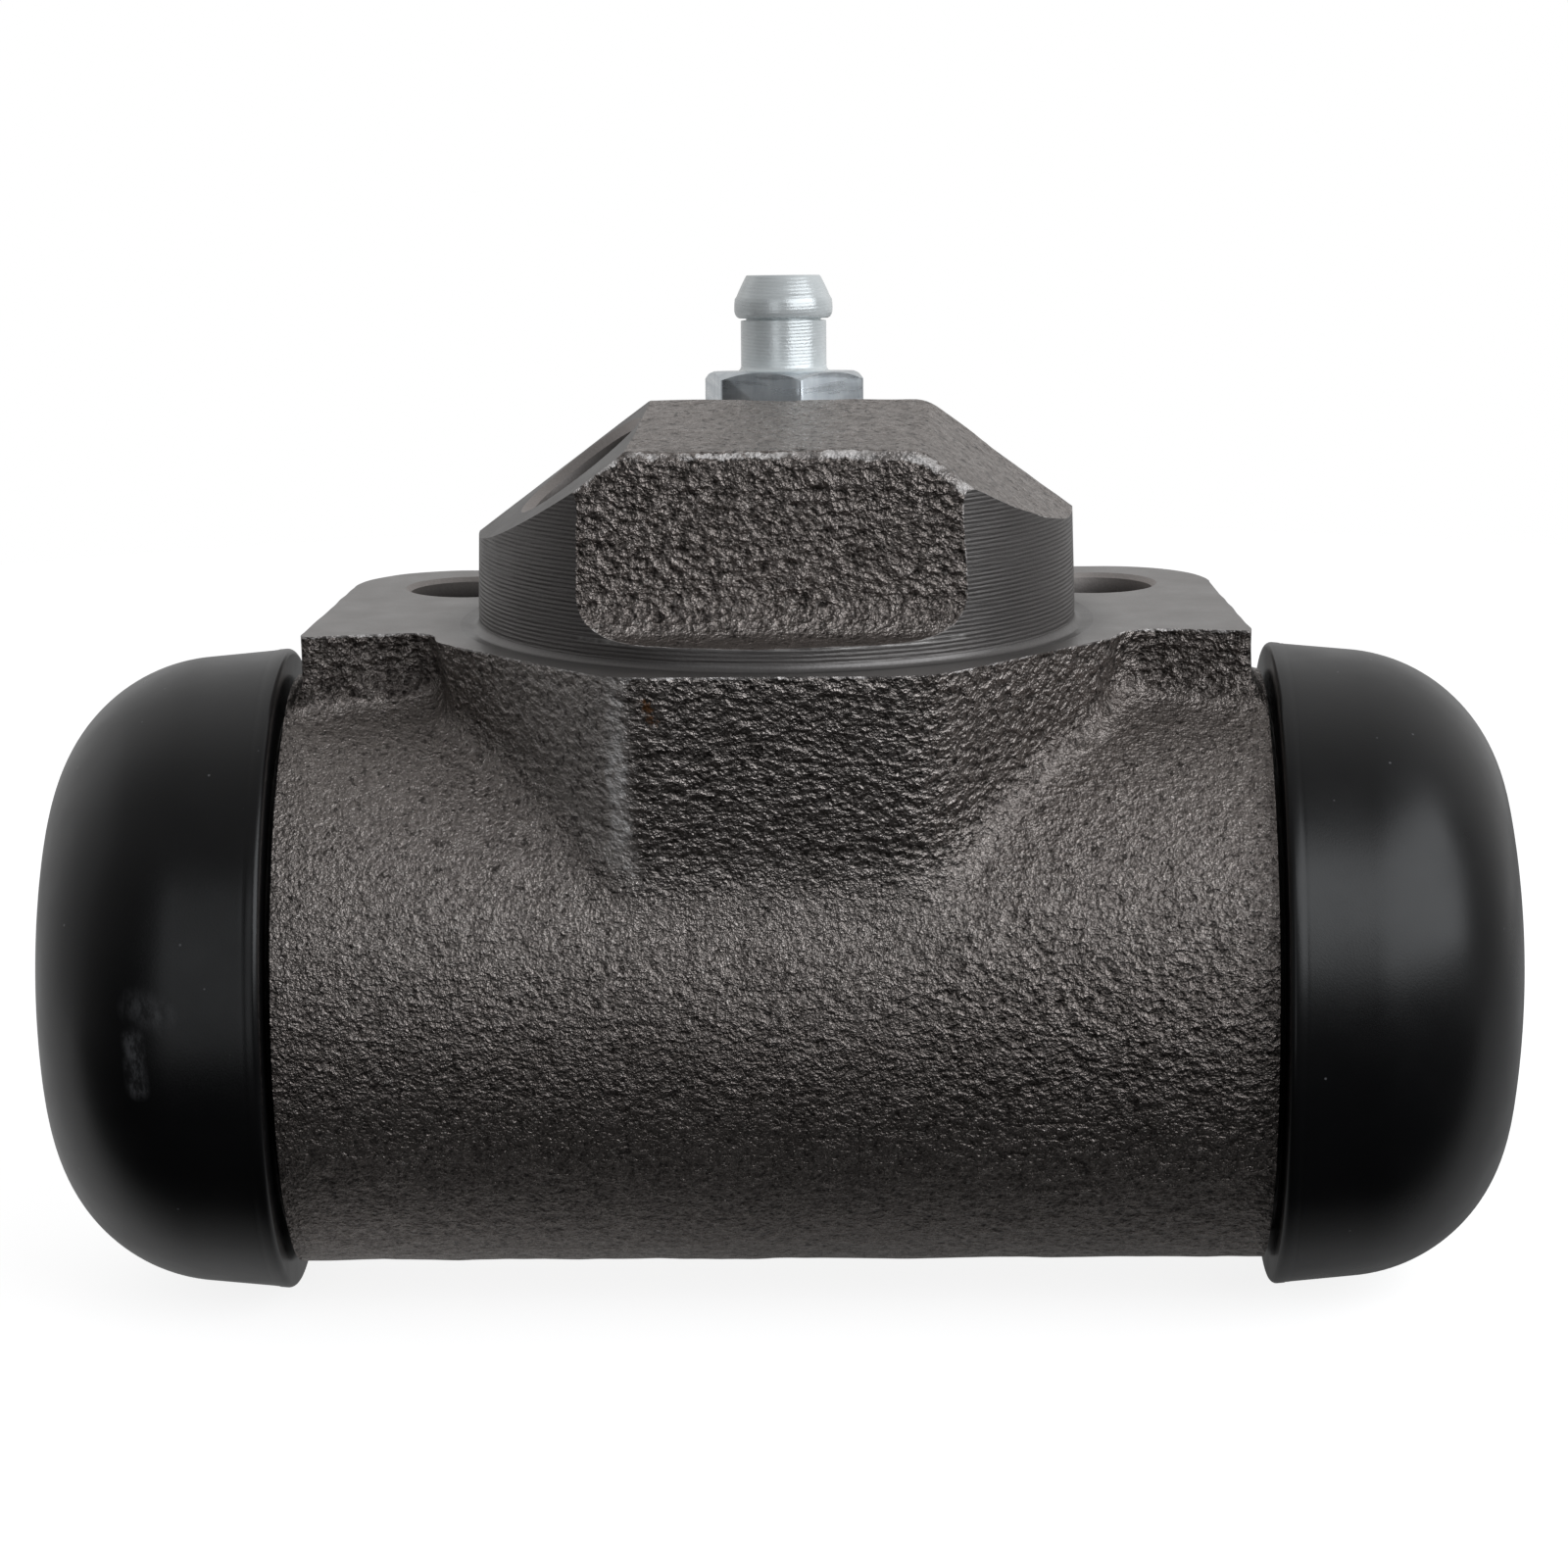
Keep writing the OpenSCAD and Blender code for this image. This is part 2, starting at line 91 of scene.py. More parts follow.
scene.camera = camera


# Cast blank of the body
# Grey iron, sand cast in two halves that part along the bore: barrel, pedestal, two ears and
# the block of the pilot, run together with soft fillets and left with stock for machining.
BORE_DROP = 22.8
BORE_R = 14.3
BARREL_R = 19.0
BARREL_HALF = 31.0
NECK_R = 17.3
BORE_HALF = 37.0
FLANGE_R = 21.35
PILOT_R = 19.05
PILOT_TOP = 14.15
PILOT_FLAT = 14.7
RING_TOP = 1.3
SHOULDER_Z = 7.1
SHOULDER_TURN = math.radians(37)
DRAFT = math.tan(math.radians(5.6))
BACK_STEP = 1.5
FACET_TURN = math.radians(49)
FOOT_DEPTH = 14.2
FOOT_FRONT = 16.8
FOOT_SIDE = 18.25
EAR_HALF = 30.0
EAR_FRONT = 5.0
EAR_SWEEP = 0.2
EAR_MIDDLE = 25.5
EAR_BACK = 20.5
EAR_DEPTH = 11.0
EAR_CORNER = 7.0
EAR_TAPER = 1.5
EAR_STRAIGHT = EAR_BACK - EAR_CORNER + EAR_FRONT
STOCK = 1.2
FACET_ROUND = 2.0
SIDE_ROUND = 0.8
EAR_ROUND = 0.6
EAR_FOOT_ROUND = 2.0
SHOULDER_ROUND = 0.6
STEP_ROUND = 0.15
STEP_FILLET = 1.0
FLAT_ROUND = 0.9
RING_ROUND = 0.6
RING_FILLET = 3.0
LEFT_EAR_FILLET = 2.8
RIGHT_EAR_FILLET = 4.0
BARREL_FILLET = 2.2
BACK_ROUND = 0.4
SWELLS = ((0.07, 6.0), (0.05, 1.9))
SKIN_SWELL = sum(height for height, size in SWELLS)
GRID_STEP = 0.46
BLANK_LOW = (-39.5, -22.6, -42.6)
BLANK_HIGH = (39.5, 22.6, 15.6)


def blend_min(a, b, width):
    """The lower of two distances, rounded over a width where they meet."""
    h = np.clip(0.5 + 0.5 * (b - a) / width, 0, 1)
    return b * (1 - h) + a * h - width * h * (1 - h)


def blend_max(a, b, width):
    return -blend_min(-a, -b, width)


def leaning(distance, top, foot, z):
    """Distance from a wall that leans in from its top, at the flange, to its foot on the barrel."""
    rate = (top - foot) / FOOT_DEPTH
    return (distance - (top + rate * z)) / math.hypot(1, rate)


def barrel_form(x, y, z):
    return np.maximum(np.hypot(y, z + BORE_DROP) - BARREL_R, np.abs(x) - BORE_HALF - STOCK)


def pedestal_form(x, y, z):
    ax, ay = np.abs(x), np.abs(y)
    slant = ax * math.sin(FACET_TURN) + ay * math.cos(FACET_TURN)
    facet = leaning(slant, FLANGE_R, FOOT_SIDE, z)
    form = blend_max(leaning(ay, FLANGE_R, FOOT_FRONT, z), facet, FACET_ROUND)
    form = blend_max(form, leaning(ax, FLANGE_R, FOOT_SIDE, z), SIDE_ROUND)
    return np.maximum(form, np.maximum(z - STOCK, -BORE_DROP - z))


def ear_form(x, y, z):
    side = np.abs(x) - EAR_HALF + EAR_TAPER * np.clip((y + EAR_FRONT) / EAR_STRAIGHT, 0, 1)
    back = y - EAR_BACK
    inner_side, inner_back = side + EAR_CORNER, back + EAR_CORNER
    outline = np.minimum(np.maximum(inner_side, inner_back), 0) - EAR_CORNER
    outline = outline + np.hypot(np.maximum(inner_side, 0), np.maximum(inner_back, 0))
    front = -y - EAR_FRONT - EAR_SWEEP * (np.abs(x) - EAR_MIDDLE)
    outline = blend_max(outline, front, EAR_ROUND)
    outline = blend_max(outline, -EAR_DEPTH - z, EAR_FOOT_ROUND)
    return np.maximum(outline, z - STOCK)


def block_half(x, z, inset):
    """Distance from the pilot block's top and its two slanted shoulders, all moved in by an inset."""
    reach = PILOT_R * math.sin(SHOULDER_TURN) + SHOULDER_Z * math.cos(SHOULDER_TURN)
    shoulder = np.abs(x) * math.sin(SHOULDER_TURN) + z * math.cos(SHOULDER_TURN) - reach + inset
    return blend_max(z - PILOT_TOP + inset, shoulder, SHOULDER_ROUND)


def block_form(x, y, z):
    front = blend_max(block_half(x, z, np.abs(y) * DRAFT), y, STEP_ROUND)
    back = np.maximum(block_half(x, z, BACK_STEP + np.abs(y) * DRAFT), -y - STOCK)
    form = blend_max(blend_min(front, back, STEP_FILLET), np.abs(y) - PILOT_FLAT, FLAT_ROUND)
    radius = np.hypot(x, y)
    ring = blend_max(radius - PILOT_R - STOCK, z - RING_TOP, RING_ROUND)
    form = np.maximum(form, radius - PILOT_R - STOCK)
    return np.maximum(blend_min(form, ring, RING_FILLET), -STOCK - z)


def casting_form(points):
    x, y, z = points[:, 0], points[:, 1], points[:, 2]
    fillet = np.where(x > 0, RIGHT_EAR_FILLET, LEFT_EAR_FILLET)
    form = blend_min(pedestal_form(x, y, z), ear_form(x, y, z), fillet)
    form = blend_min(form, barrel_form(x, y, z), BARREL_FILLET)
    form = blend_max(form, np.abs(y) - FLANGE_R + SKIN_SWELL, BACK_ROUND)
    return np.minimum(form, block_form(x, y, z))


def surface_net(distance, low, high, step):
    """Closed quads over the surface where distance is 0, one point in each grid cell that it crosses."""
    low = np.array(low, float)
    axes = [np.arange(low[i], high[i] + step, step) for i in range(3)]
    shape = tuple(len(a) for a in axes)
    grid = np.stack(np.meshgrid(*axes, indexing="ij"), -1).reshape(-1, 3)
    field = distance(grid).reshape(shape)
    inside = field < 0
    cells = tuple(n - 1 for n in shape)
    corners = [np.array((i, j, k)) for i in (0, 1) for j in (0, 1) for k in (0, 1)]
    count = np.zeros(cells, np.int8)
    for i, j, k in corners:
        count += inside[i:i + cells[0], j:j + cells[1], k:k + cells[2]]
    mixed = (count > 0) & (count < len(corners))
    where = np.argwhere(mixed)
    index = np.full(cells, -1)
    index[mixed] = np.arange(len(where))
    values = np.stack([field[tuple((where + c).T)] for c in corners], 1)
    total = np.zeros((len(where), 3))
    hits = np.zeros(len(where))
    for a in range(len(corners)):
        for b in range(a + 1, len(corners)):
            if np.abs(corners[a] - corners[b]).sum() != 1:
                continue
            crossed = (values[:, a] < 0) != (values[:, b] < 0)
            share = values[crossed, a] / (values[crossed, a] - values[crossed, b])
            total[crossed] += corners[a] + share[:, None] * (corners[b] - corners[a])
            hits += crossed
    points = low + step * (where + total / hits[:, None])
    quads = []
    for axis in range(3):
        u, v = (axis + 1) % 3, (axis + 2) % 3
        low_end = np.take(inside, range(shape[axis] - 1), axis)
        high_end = np.take(inside, range(1, shape[axis]), axis)
        edges = np.argwhere(low_end != high_end)
        around = []
        for du, dv in ((-1, -1), (0, -1), (0, 0), (-1, 0)):
            cell = edges.copy()
            cell[:, u] += du
            cell[:, v] += dv
            around.append(index[tuple(cell.T)])
        quad = np.stack(around, 1)
        outward = low_end[tuple(edges.T)]
        quads.append(np.where(outward[:, None], quad, quad[:, ::-1]))
    return points, np.concatenate(quads)


def settle(points, distance, rounds=4, reach=0.04):
    """Moves points onto the surface where distance is 0, and gives its outward normals there."""
    steps = reach * np.eye(3)
    for _ in range(rounds):
        slope = np.stack([distance(points + s) - distance(points - s) for s in steps], 1) / (2 * reach)
        size = np.maximum((slope ** 2).sum(1), 0.2)
        points = points - (distance(points) / size)[:, None] * slope
    return points, slope / np.sqrt(size)[:, None]


def new_piece(name, mesh):
    piece = bpy.data.objects.new(name, mesh)
    scene.collection.objects.link(piece)
    return piece


def wave(points, size):
    """Smooth noise at the points, with swells about size millimetres across."""
    return np.array([noise.noise(Vector(p)) for p in points / size])


blank_points, blank_quads = surface_net(casting_form, BLANK_LOW, BLANK_HIGH, GRID_STEP)
blank_points, blank_normals = settle(blank_points, casting_form)
swell = sum(height * wave(blank_points, size) for height, size in SWELLS)
blank_points = blank_points + swell[:, None] * blank_normals
body_mesh = bpy.data.meshes.new("body")
body_mesh.from_pydata(blank_points.tolist(), [], blank_quads.tolist())
body = new_piece("body", body_mesh)


# Finishes of the body
# Sand-cast iron skin, dark and pebbled, coarsest on pedestal, ears and flat; bare iron where
# the flange is faced, the pilot is turned and the port's shoulder is milled.
LUMP_SIZE = 0.78
CRATER_SIZE = 0.7
SAND_SIZE = 0.24
SKIN_RELIEF = 0.48
SOOT = (0.045, 0.038, 0.035)
# Skin colours: the plain skin by its relief, a paler copy of it that is painted light, and a near black
# that is painted shade.
DARK_SKIN = ((0.52, SOOT), (0.68, (0.175, 0.152, 0.14)), (0.95, (0.34, 0.3, 0.28)))
PAINTED_LIGHT_SKIN = ((0.5, (0.22, 0.2, 0.188)), (0.68, (0.5, 0.455, 0.43)), (0.95, (0.68, 0.63, 0.6)))
PAINTED_SHADE_SKIN = (0.02, 0.018, 0.016)
FLECK = (0.62, 0.58, 0.55)
BARE_IRON_AND_HIGHLIGHT = (0.84, 0.8, 0.78)
RUST = (0.13, 0.055, 0.018)
RUST_TOP = (-7.5, -20.8, -1.75)
RUST_FOOT = (-7.1, -20.5, -2.9)
BURR_AND_HIGHLIGHT = (0.7, 0.68, 0.66)
BURR_AND_HIGHLIGHT_SHARE = 0.55
SPECK_SIZE = 0.16
FOOT_SHADE_REACH = 3.2
TURNING_PITCH = 0.275


def shade(tree, kind, inputs=None, **options):
    made = tree.nodes.new("ShaderNode" + kind)
    for key, value in options.items():
        setattr(made, key, value)
    for key, value in (inputs or {}).items():
        socket = made.inputs[key]
        if isinstance(value, bpy.types.NodeSocket):
            tree.links.new(value, socket)
        else:
            socket.default_value = value
    return made


def vector(tree, operation, a, b=(0, 0, 0), c=(0, 0, 0), scale=1.0):
    made = shade(tree, "VectorMath", {0: a, 1: b, 2: c, 3: scale}, operation=operation)
    return made.outputs["Value" if operation in ("DOT_PRODUCT", "DISTANCE", "LENGTH") else "Vector"]


def finish(name, **sockets):
    """Material with a Principled surface, and the millimetre coordinates to make its detail from."""
    made = bpy.data.materials.new(name)
    made.use_nodes = True
    tree = made.node_tree
    surface = tree.nodes["Principled BSDF"]
    for key, value in sockets.items():
        surface.inputs[key.replace("_", " ")].default_value = value
    coords = shade(tree, "TexCoord").outputs["Object"]
    return made, tree, surface, vector(tree, "SCALE", coords, scale=1 / MM)


def number(tree, operation, a, b=0.0, c=0.0, clamp=False):
    return shade(tree, "Math", {0: a, 1: b, 2: c}, operation=operation, use_clamp=clamp).outputs[0]


def effect(name, given, made):
    """Node group of an effect that materials share, with the sockets that it is given and makes."""
    group = bpy.data.node_groups.new(name, "ShaderNodeTree")
    for way, sockets in (("INPUT", given), ("OUTPUT", made)):
        for key, kind in sockets.items():
            group.interface.new_socket(key, in_out=way, socket_type="NodeSocket" + kind)
    return group, group.nodes.new("NodeGroupInput").outputs, group.nodes.new("NodeGroupOutput").inputs


def placed(tree, group, **inputs):
    return shade(tree, "Group", inputs, node_tree=group).outputs


grain_group, given, result = effect(
    "grain",
    {"Place": "Vector", "Size": "Float", "Detail": "Float", "Rough": "Float", "Stretch": "Vector"},
    {"Value": "Float"})
lumps = shade(grain_group, "TexNoise", {
    "Vector": vector(grain_group, "MULTIPLY", given["Place"], given["Stretch"]),
    "Scale": number(grain_group, "DIVIDE", 1.0, given["Size"]),
    "Detail": given["Detail"],
    "Roughness": given["Rough"],
})
grain_group.links.new(lumps.outputs["Fac"], result["Value"])


def grain(tree, place, size, detail=2.0, rough=0.5, stretch=(1, 1, 1)):
    """Noise between 0 and 1 whose lumps are about size millimetres across."""
    made = placed(tree, grain_group, Place=place, Size=size, Detail=detail, Rough=rough, Stretch=stretch)
    return made["Value"]


turning_group, given, result = effect(
    "turning_lines", {"Along": "Float", "Pitch": "Float"}, {"Height": "Float"})
angle = number(turning_group, "MULTIPLY", given["Along"], 2 * math.pi)
angle = number(turning_group, "DIVIDE", angle, given["Pitch"])
turning_group.links.new(number(turning_group, "SINE", angle), result["Height"])


def ramp(tree, value, *stops):
    """Colour or grey between stops, each a place from 0 to 1 and what it has there."""
    made = shade(tree, "ValToRGB", {0: value})
    points = made.color_ramp.elements
    while len(points) < len(stops):
        points.new(0.5)
    for point, (at, colour) in zip(points, stops):
        point.position = at
        point.color = (*colour, 1) if isinstance(colour, tuple) else (colour, colour, colour, 1)
    return made.outputs[0]


def mixed(tree, share, a, b):
    """Colour a, or b where the share is 1."""
    made = shade(tree, "Mix", data_type="RGBA")
    for at, value in ((0, share), (6, a), (7, b)):
        socket = made.inputs[at]
        if isinstance(value, bpy.types.NodeSocket):
            tree.links.new(value, socket)
        else:
            socket.default_value = (*value, 1) if isinstance(value, tuple) else value
    return made.outputs[2]


def bumped(tree, surface, height, distance):
    """Gives a surface a relief whose height of 1 stands for a distance in millimetres."""
    inputs = {"Height": height, "Distance": distance * MM, "Strength": 1.0}
    tree.links.new(shade(tree, "Bump", inputs).outputs[0], surface.inputs["Normal"])


def attribute(tree, name):
    return shade(tree, "Attribute", attribute_name=name).outputs["Fac"]


streak_group, given, result = effect(
    "streak", {"Place": "Vector", "Start": "Vector", "Run": "Vector"}, {"Distance": "Float"})
run = given["Run"]
off = vector(streak_group, "SUBTRACT", given["Place"], given["Start"])
part = vector(streak_group, "DOT_PRODUCT", off, run)
whole = vector(streak_group, "DOT_PRODUCT", run, run)
part = number(streak_group, "DIVIDE", part, whole, clamp=True)
foot = vector(streak_group, "SCALE", run, scale=part)
streak_group.links.new(vector(streak_group, "DISTANCE", off, foot), result["Distance"])


def streak(tree, place, start, stop):
    """Distance in millimetres from the straight line between two points."""
    run = Vector(stop) - Vector(start)
    return placed(tree, streak_group, Place=place, Start=start, Run=run)["Distance"]


def cast_skin():
    """Iron skin whose relief, tone and bright edges follow marks on the mesh: the tone carries painted
    light and shade, and the bright edges bare iron with a painted highlight along the pedestal's left
    crease.
    """
    made, tree, surface, place = finish("cast_skin", Metallic=0.9)
    coarse = attribute(tree, "coarse")
    lumps = grain(tree, place, LUMP_SIZE, 2.0, 0.55, (1, 1, 1.3))
    warp = shade(tree, "TexNoise", {"Vector": place, "Scale": 1.8, "Detail": 2.0}).outputs["Color"]
    bent = vector(tree, "MULTIPLY_ADD", warp, (0.7, 0.7, 0.7), place)
    bent = vector(tree, "MULTIPLY", bent, (1, 1, 1.25))
    crater = shade(tree, "TexVoronoi", {"Vector": bent, "Scale": 1 / CRATER_SIZE}).outputs["Distance"]
    craggy = number(tree, "MULTIPLY_ADD", coarse, 3.0, -1.4, clamp=True)
    crest = number(tree, "MULTIPLY", crater, craggy)
    fine = grain(tree, place, SAND_SIZE, 2.0, 0.65)
    height = number(tree, "MULTIPLY_ADD", crest, 0.55, lumps)
    height = number(tree, "MULTIPLY", height, coarse)
    height = number(tree, "MULTIPLY_ADD", fine, 0.42, height)
    bumped(tree, surface, height, SKIN_RELIEF)
    # The skin's colour follows its relief, darker in the hollows and paler on the lumps' tops: partly
    # the iron's own tone, partly painted shade and painted glints.
    depth = number(tree, "MULTIPLY_ADD", number(tree, "SUBTRACT", lumps, 0.5), coarse, 0.4)
    depth = number(tree, "MULTIPLY_ADD", fine, 0.75, depth)
    crest = number(tree, "MULTIPLY_ADD", craggy, -0.5, crest)
    depth = number(tree, "MULTIPLY_ADD", crest, 0.3, depth)
    # The tone mark mixes in the paler copy of the skin where light is painted.
    tone_and_painted_light = attribute(tree, "tone_and_painted_light")
    colour = mixed(tree, tone_and_painted_light, ramp(tree, depth, *DARK_SKIN), ramp(tree, depth, *PAINTED_LIGHT_SKIN))
    # Painted shade: near black where the tone mark goes below 0, on the ears and lowest on the barrel.
    colour = mixed(tree, number(tree, "MULTIPLY", tone_and_painted_light, -1.0, clamp=True), colour, PAINTED_SHADE_SKIN)
    fleck = ramp(tree, grain(tree, place, 0.3, 1.0, 0.5), (0.64, 0.0), (0.72, 0.36))
    colour = mixed(tree, fleck, colour, FLECK)
    pit = ramp(tree, grain(tree, place, 0.5, 2.0, 0.6), (0.33, 0.75), (0.42, 0.0))
    colour = mixed(tree, pit, colour, SOOT)
    patch = ramp(tree, grain(tree, place, 2.2), (0.42, 0.25), (0.6, 1.0))
    torn = grain(tree, place, 0.45, 2.0, 0.6)
    # Bare iron at the bright edges, and a painted highlight along the pedestal's left crease.
    ragged = number(tree, "MULTIPLY_ADD", attribute(tree, "wear_and_highlight"), 1.3, torn)
    bare = number(tree, "MULTIPLY_ADD", ragged, 5.0, -6.5, clamp=True)
    bare = number(tree, "MULTIPLY", bare, patch)
    colour = mixed(tree, bare, colour, BARE_IRON_AND_HIGHLIGHT)
    smear = streak(tree, place, RUST_TOP, RUST_FOOT)
    smear = number(tree, "MULTIPLY_ADD", grain(tree, place, 0.45, 2.0, 0.7), -1.3, smear)
    rust = number(tree, "MULTIPLY_ADD", smear, -4.0, -1.1, clamp=True)
    colour = mixed(tree, rust, colour, RUST)
    tree.links.new(colour, surface.inputs["Base Color"])
    # Metal is lowered where light is painted and at the bright edges, so that they take the lamps' light
    # as a matte surface.
    matte_share = number(tree, "MAXIMUM", number(tree, "MULTIPLY_ADD", tone_and_painted_light, 1.5, -0.45, clamp=True), bare)
    metal = number(tree, "MULTIPLY_ADD", matte_share, -0.75, 0.9)
    tree.links.new(number(tree, "MULTIPLY_ADD", rust, -0.8, metal), surface.inputs["Metallic"])
    tree.links.new(ramp(tree, depth, (0.45, 0.46), (0.9, 0.26)), surface.inputs["Roughness"])
    return made


iron_group, given, result = effect(
    "cut_iron", {"Place": "Vector"}, {"Level": "Float", "Cloud": "Float", "Speck": "Float"})
speck = grain(iron_group, given["Place"], SPECK_SIZE, 2.0, 0.7)
cloud = grain(iron_group, given["Place"], 4.0, 3.0, 0.6)
level = number(iron_group, "MULTIPLY_ADD", speck, 0.5, 0.75)
stain = number(iron_group, "MULTIPLY", cloud, 0.5)
level = number(iron_group, "MULTIPLY_ADD", number(iron_group, "SUBTRACT", 0.7, level), stain, level)
for key, value in (("Level", level), ("Cloud", cloud), ("Speck", speck)):
    iron_group.links.new(value, result[key])

# Painted shade in holes, growing with the depth below the mouth.
hole_shade_group, given, result = effect(
    "hole_painted_shade", {"Place": "Vector", "Mouth": "Vector", "Out": "Vector"}, {"Share": "Float"})
up = vector(hole_shade_group, "SUBTRACT", given["Place"], given["Mouth"])
up = vector(hole_shade_group, "DOT_PRODUCT", up, given["Out"])
hole_shade_group.links.new(number(hole_shade_group, "MULTIPLY_ADD", up, -0.7, -0.35, clamp=True), result["Share"])


def machined(name, tint, rough, lines=0.0, axis=2, burr_and_highlight=False, foot_shade=False, mouth=None):
    """Bare iron with a fine grain. It can have turning lines, a bright burr on the ring's edge that is
    partly a painted highlight, painted shade round the foot of the pilot, and painted shade below the
    mouth of a hole, given as a point and a direction."""
    made, tree, surface, place = finish(name, Metallic=0.75)
    iron = placed(tree, iron_group, Place=place)
    cloud = iron["Cloud"]
    colour = vector(tree, "SCALE", tint, scale=iron["Level"])
    if foot_shade:
        # Painted shade on the flange round the foot of the pilot, patchy with the cloud.
        away = vector(tree, "LENGTH", vector(tree, "MULTIPLY", place, (1, 1, 0)))
        share = number(tree, "MULTIPLY_ADD", away, -0.4, 0.4 * (PILOT_R + FOOT_SHADE_REACH), clamp=True)
        share = number(tree, "MULTIPLY", share, ramp(tree, cloud, (0.3, 0.5), (0.7, 0.85)))
        colour = mixed(tree, share, colour, tuple(c * 0.3 for c in tint))
    if mouth:
        # Painted shade inside the hole, darker the deeper below its mouth.
        share = placed(tree, hole_shade_group, Place=place, Mouth=mouth[0], Out=mouth[1])["Share"]
        colour = mixed(tree, share, colour, tuple(c * 0.06 for c in tint))
    # A bright band along the ring's top edge at the flats: partly a torn burr, partly a painted
    # highlight standing in for an edge chamfer.
    if burr_and_highlight:
        y, z = shade(tree, "SeparateXYZ", {0: place}).outputs[1:]
        front = number(tree, "ABSOLUTE", y)
        front = number(tree, "MULTIPLY_ADD", front, 4.0, -4 * PILOT_FLAT - 0.5, clamp=True)
        edge = number(tree, "MULTIPLY_ADD", z, 8.0, 1 - 8 * RING_TOP, clamp=True)
        over = number(tree, "MULTIPLY_ADD", z, 6.0, -6 * RING_TOP - 0.5, clamp=True)
        edge = number(tree, "SUBTRACT", edge, over, clamp=True)
        torn = ramp(tree, grain(tree, place, 1.6, 3.0, 0.7), (0.4, 0.15), (0.6, 1.0))
        share = number(tree, "MULTIPLY", number(tree, "MULTIPLY", front, edge), torn)
        colour = mixed(tree, number(tree, "MULTIPLY", share, BURR_AND_HIGHLIGHT_SHARE), colour, BURR_AND_HIGHLIGHT)
    tree.links.new(colour, surface.inputs["Base Color"])
    roughness = ramp(tree, cloud, (0.3, rough + 0.08), (0.7, rough - 0.05))
    tree.links.new(roughness, surface.inputs["Roughness"])
    height = number(tree, "MULTIPLY", iron["Speck"], 0.3)
    if lines:
        along = shade(tree, "SeparateXYZ", {0: place}).outputs[axis]
        wander = number(tree, "MULTIPLY_ADD", grain(tree, place, 2.5), 0.05, along)
        cut = placed(tree, turning_group, Along=wander, Pitch=TURNING_PITCH)["Height"]
        depth = number(tree, "MULTIPLY", grain(tree, place, 0.7, 2.0, 0.6, (0.2, 0.2, 1.5)), 1.4 * lines)
        height = number(tree, "MULTIPLY_ADD", cut, depth, height)
        thin = tuple(1.0 if i == axis else 0.05 for i in range(3))
        scratches = grain(tree, place, SPECK_SIZE, 2.0, 0.7, thin)
        height = number(tree, "MULTIPLY_ADD", scratches, 3 * lines, height)
    bumped(tree, surface, height, distance=0.06)
    return made


# Machining of the body
# The flange is faced and the pilot turned in one setting, then the port's shoulder and the
# bleeder's spot face are milled, the holes drilled, and the bore and necks turned.
TILT = math.radians(6)
BLEEDER = Vector((0.4, 10, 10.3))
PORT_OFFSET = 12.1
PORT_FRONT = 5.2
PORT_TILT = math.radians(2.1)
PORT_MILL = 1.1
PORT_R = 4.25
PORT_CHAMFER = 0.5
PORT_DEPTH = 11.0
PORT_CONE = 12.6
PORT_DRILL_R = 1.6
DRILL_REACH = 26.0
OVERCUT = 1.0
MILL_SIZE = (38.0, 76.0, 20.0)
MILL_SHIFT = 9.15
SPOT_R = 11.0
SPOT_CLEAR = 20.0
TAP_R = 3.96
TAP_DEPTH = 12.3
SEAT_R = 3.1
SEAT_TOP = 15.6
SEAT_TIP_R = 1.4
SEAT_FOOT = 17.3
SEAT_DRILL_R = 1.0
BOLT_HALF = 20.7
BOLT_BACK = 13.5
BOLT_R = 4.0
BOLT_CHAMFER = 0.3
BOLT_DEPTH = 9.6
BOLT_TIP = 11.0
FOOT_ROUND = 0.5
FOOT_SINK = 0.12
FOOT_RUN = 0.7
PILOT_TAPER = 0.3
TURNING_TOP = 30.0
TURNING_TOP_R = 18.4
CUT_R = 60.0
BORE_CHAMFER = 0.8
BORE_CLEAR = 3.0
GROOVE_R = 16.4
GROOVE_START = 32.8
GROOVE_STOP = 35.2
NECK_FACE_R = 10.0
NECK_CLEAR = 45.0
WALL_SLOPE = 0.1
FACE_SLOPE = 0.999


def lathe(profile, steps, place=Matrix(), closed=False):
    """Mesh of a profile of (radius, height) points turned about Z, then moved by place."""
    made = bmesh.new()
    points = [made.verts.new((r, 0, h)) for r, h in profile]
    ends = points[1:] + (points[:1] if closed else [])
    edges = [made.edges.new(pair) for pair in zip(points, ends)]
    bmesh.ops.spin(made, geom=points + edges, axis=(0, 0, 1), cent=(0, 0, 0), angle=2 * math.pi,
                   steps=steps, use_merge=True)
    bmesh.ops.remove_doubles(made, verts=made.verts, dist=1e-4)
    bmesh.ops.recalc_face_normals(made, faces=made.faces)
    bmesh.ops.transform(made, matrix=place, verts=made.verts)
    mesh = bpy.data.meshes.new("lathe")
    made.to_mesh(mesh)
    made.free()
    return mesh


def arc(centre, radius, start, stop, steps):
    """Points along a part of a circle, between two angles in degrees."""
    angles = [math.radians(start + (stop - start) * i / steps) for i in range(steps + 1)]
    return [(centre[0] + radius * math.cos(a), centre[1] + radius * math.sin(a)) for a in angles]


def combine(piece, operation, mesh):
    """Adds a Boolean step with a closed mesh to a piece."""
    tool = new_piece("tool", mesh)
    step = piece.modifiers.new(operation, "BOOLEAN")
    step.operation = operation
    step.solver = "MANIFOLD"
    step.material_mode = "TRANSFER"
    step.object = tool


def cut(piece, mesh, choose):
    """Takes a closed mesh out of a piece. choose gives the finish of a cut face from its normal."""
    for made in body_finishes:
        mesh.materials.append(made)
    for face in mesh.polygons:
        face.material_index = choose(face.normal)
    combine(piece, "DIFFERENCE", mesh)


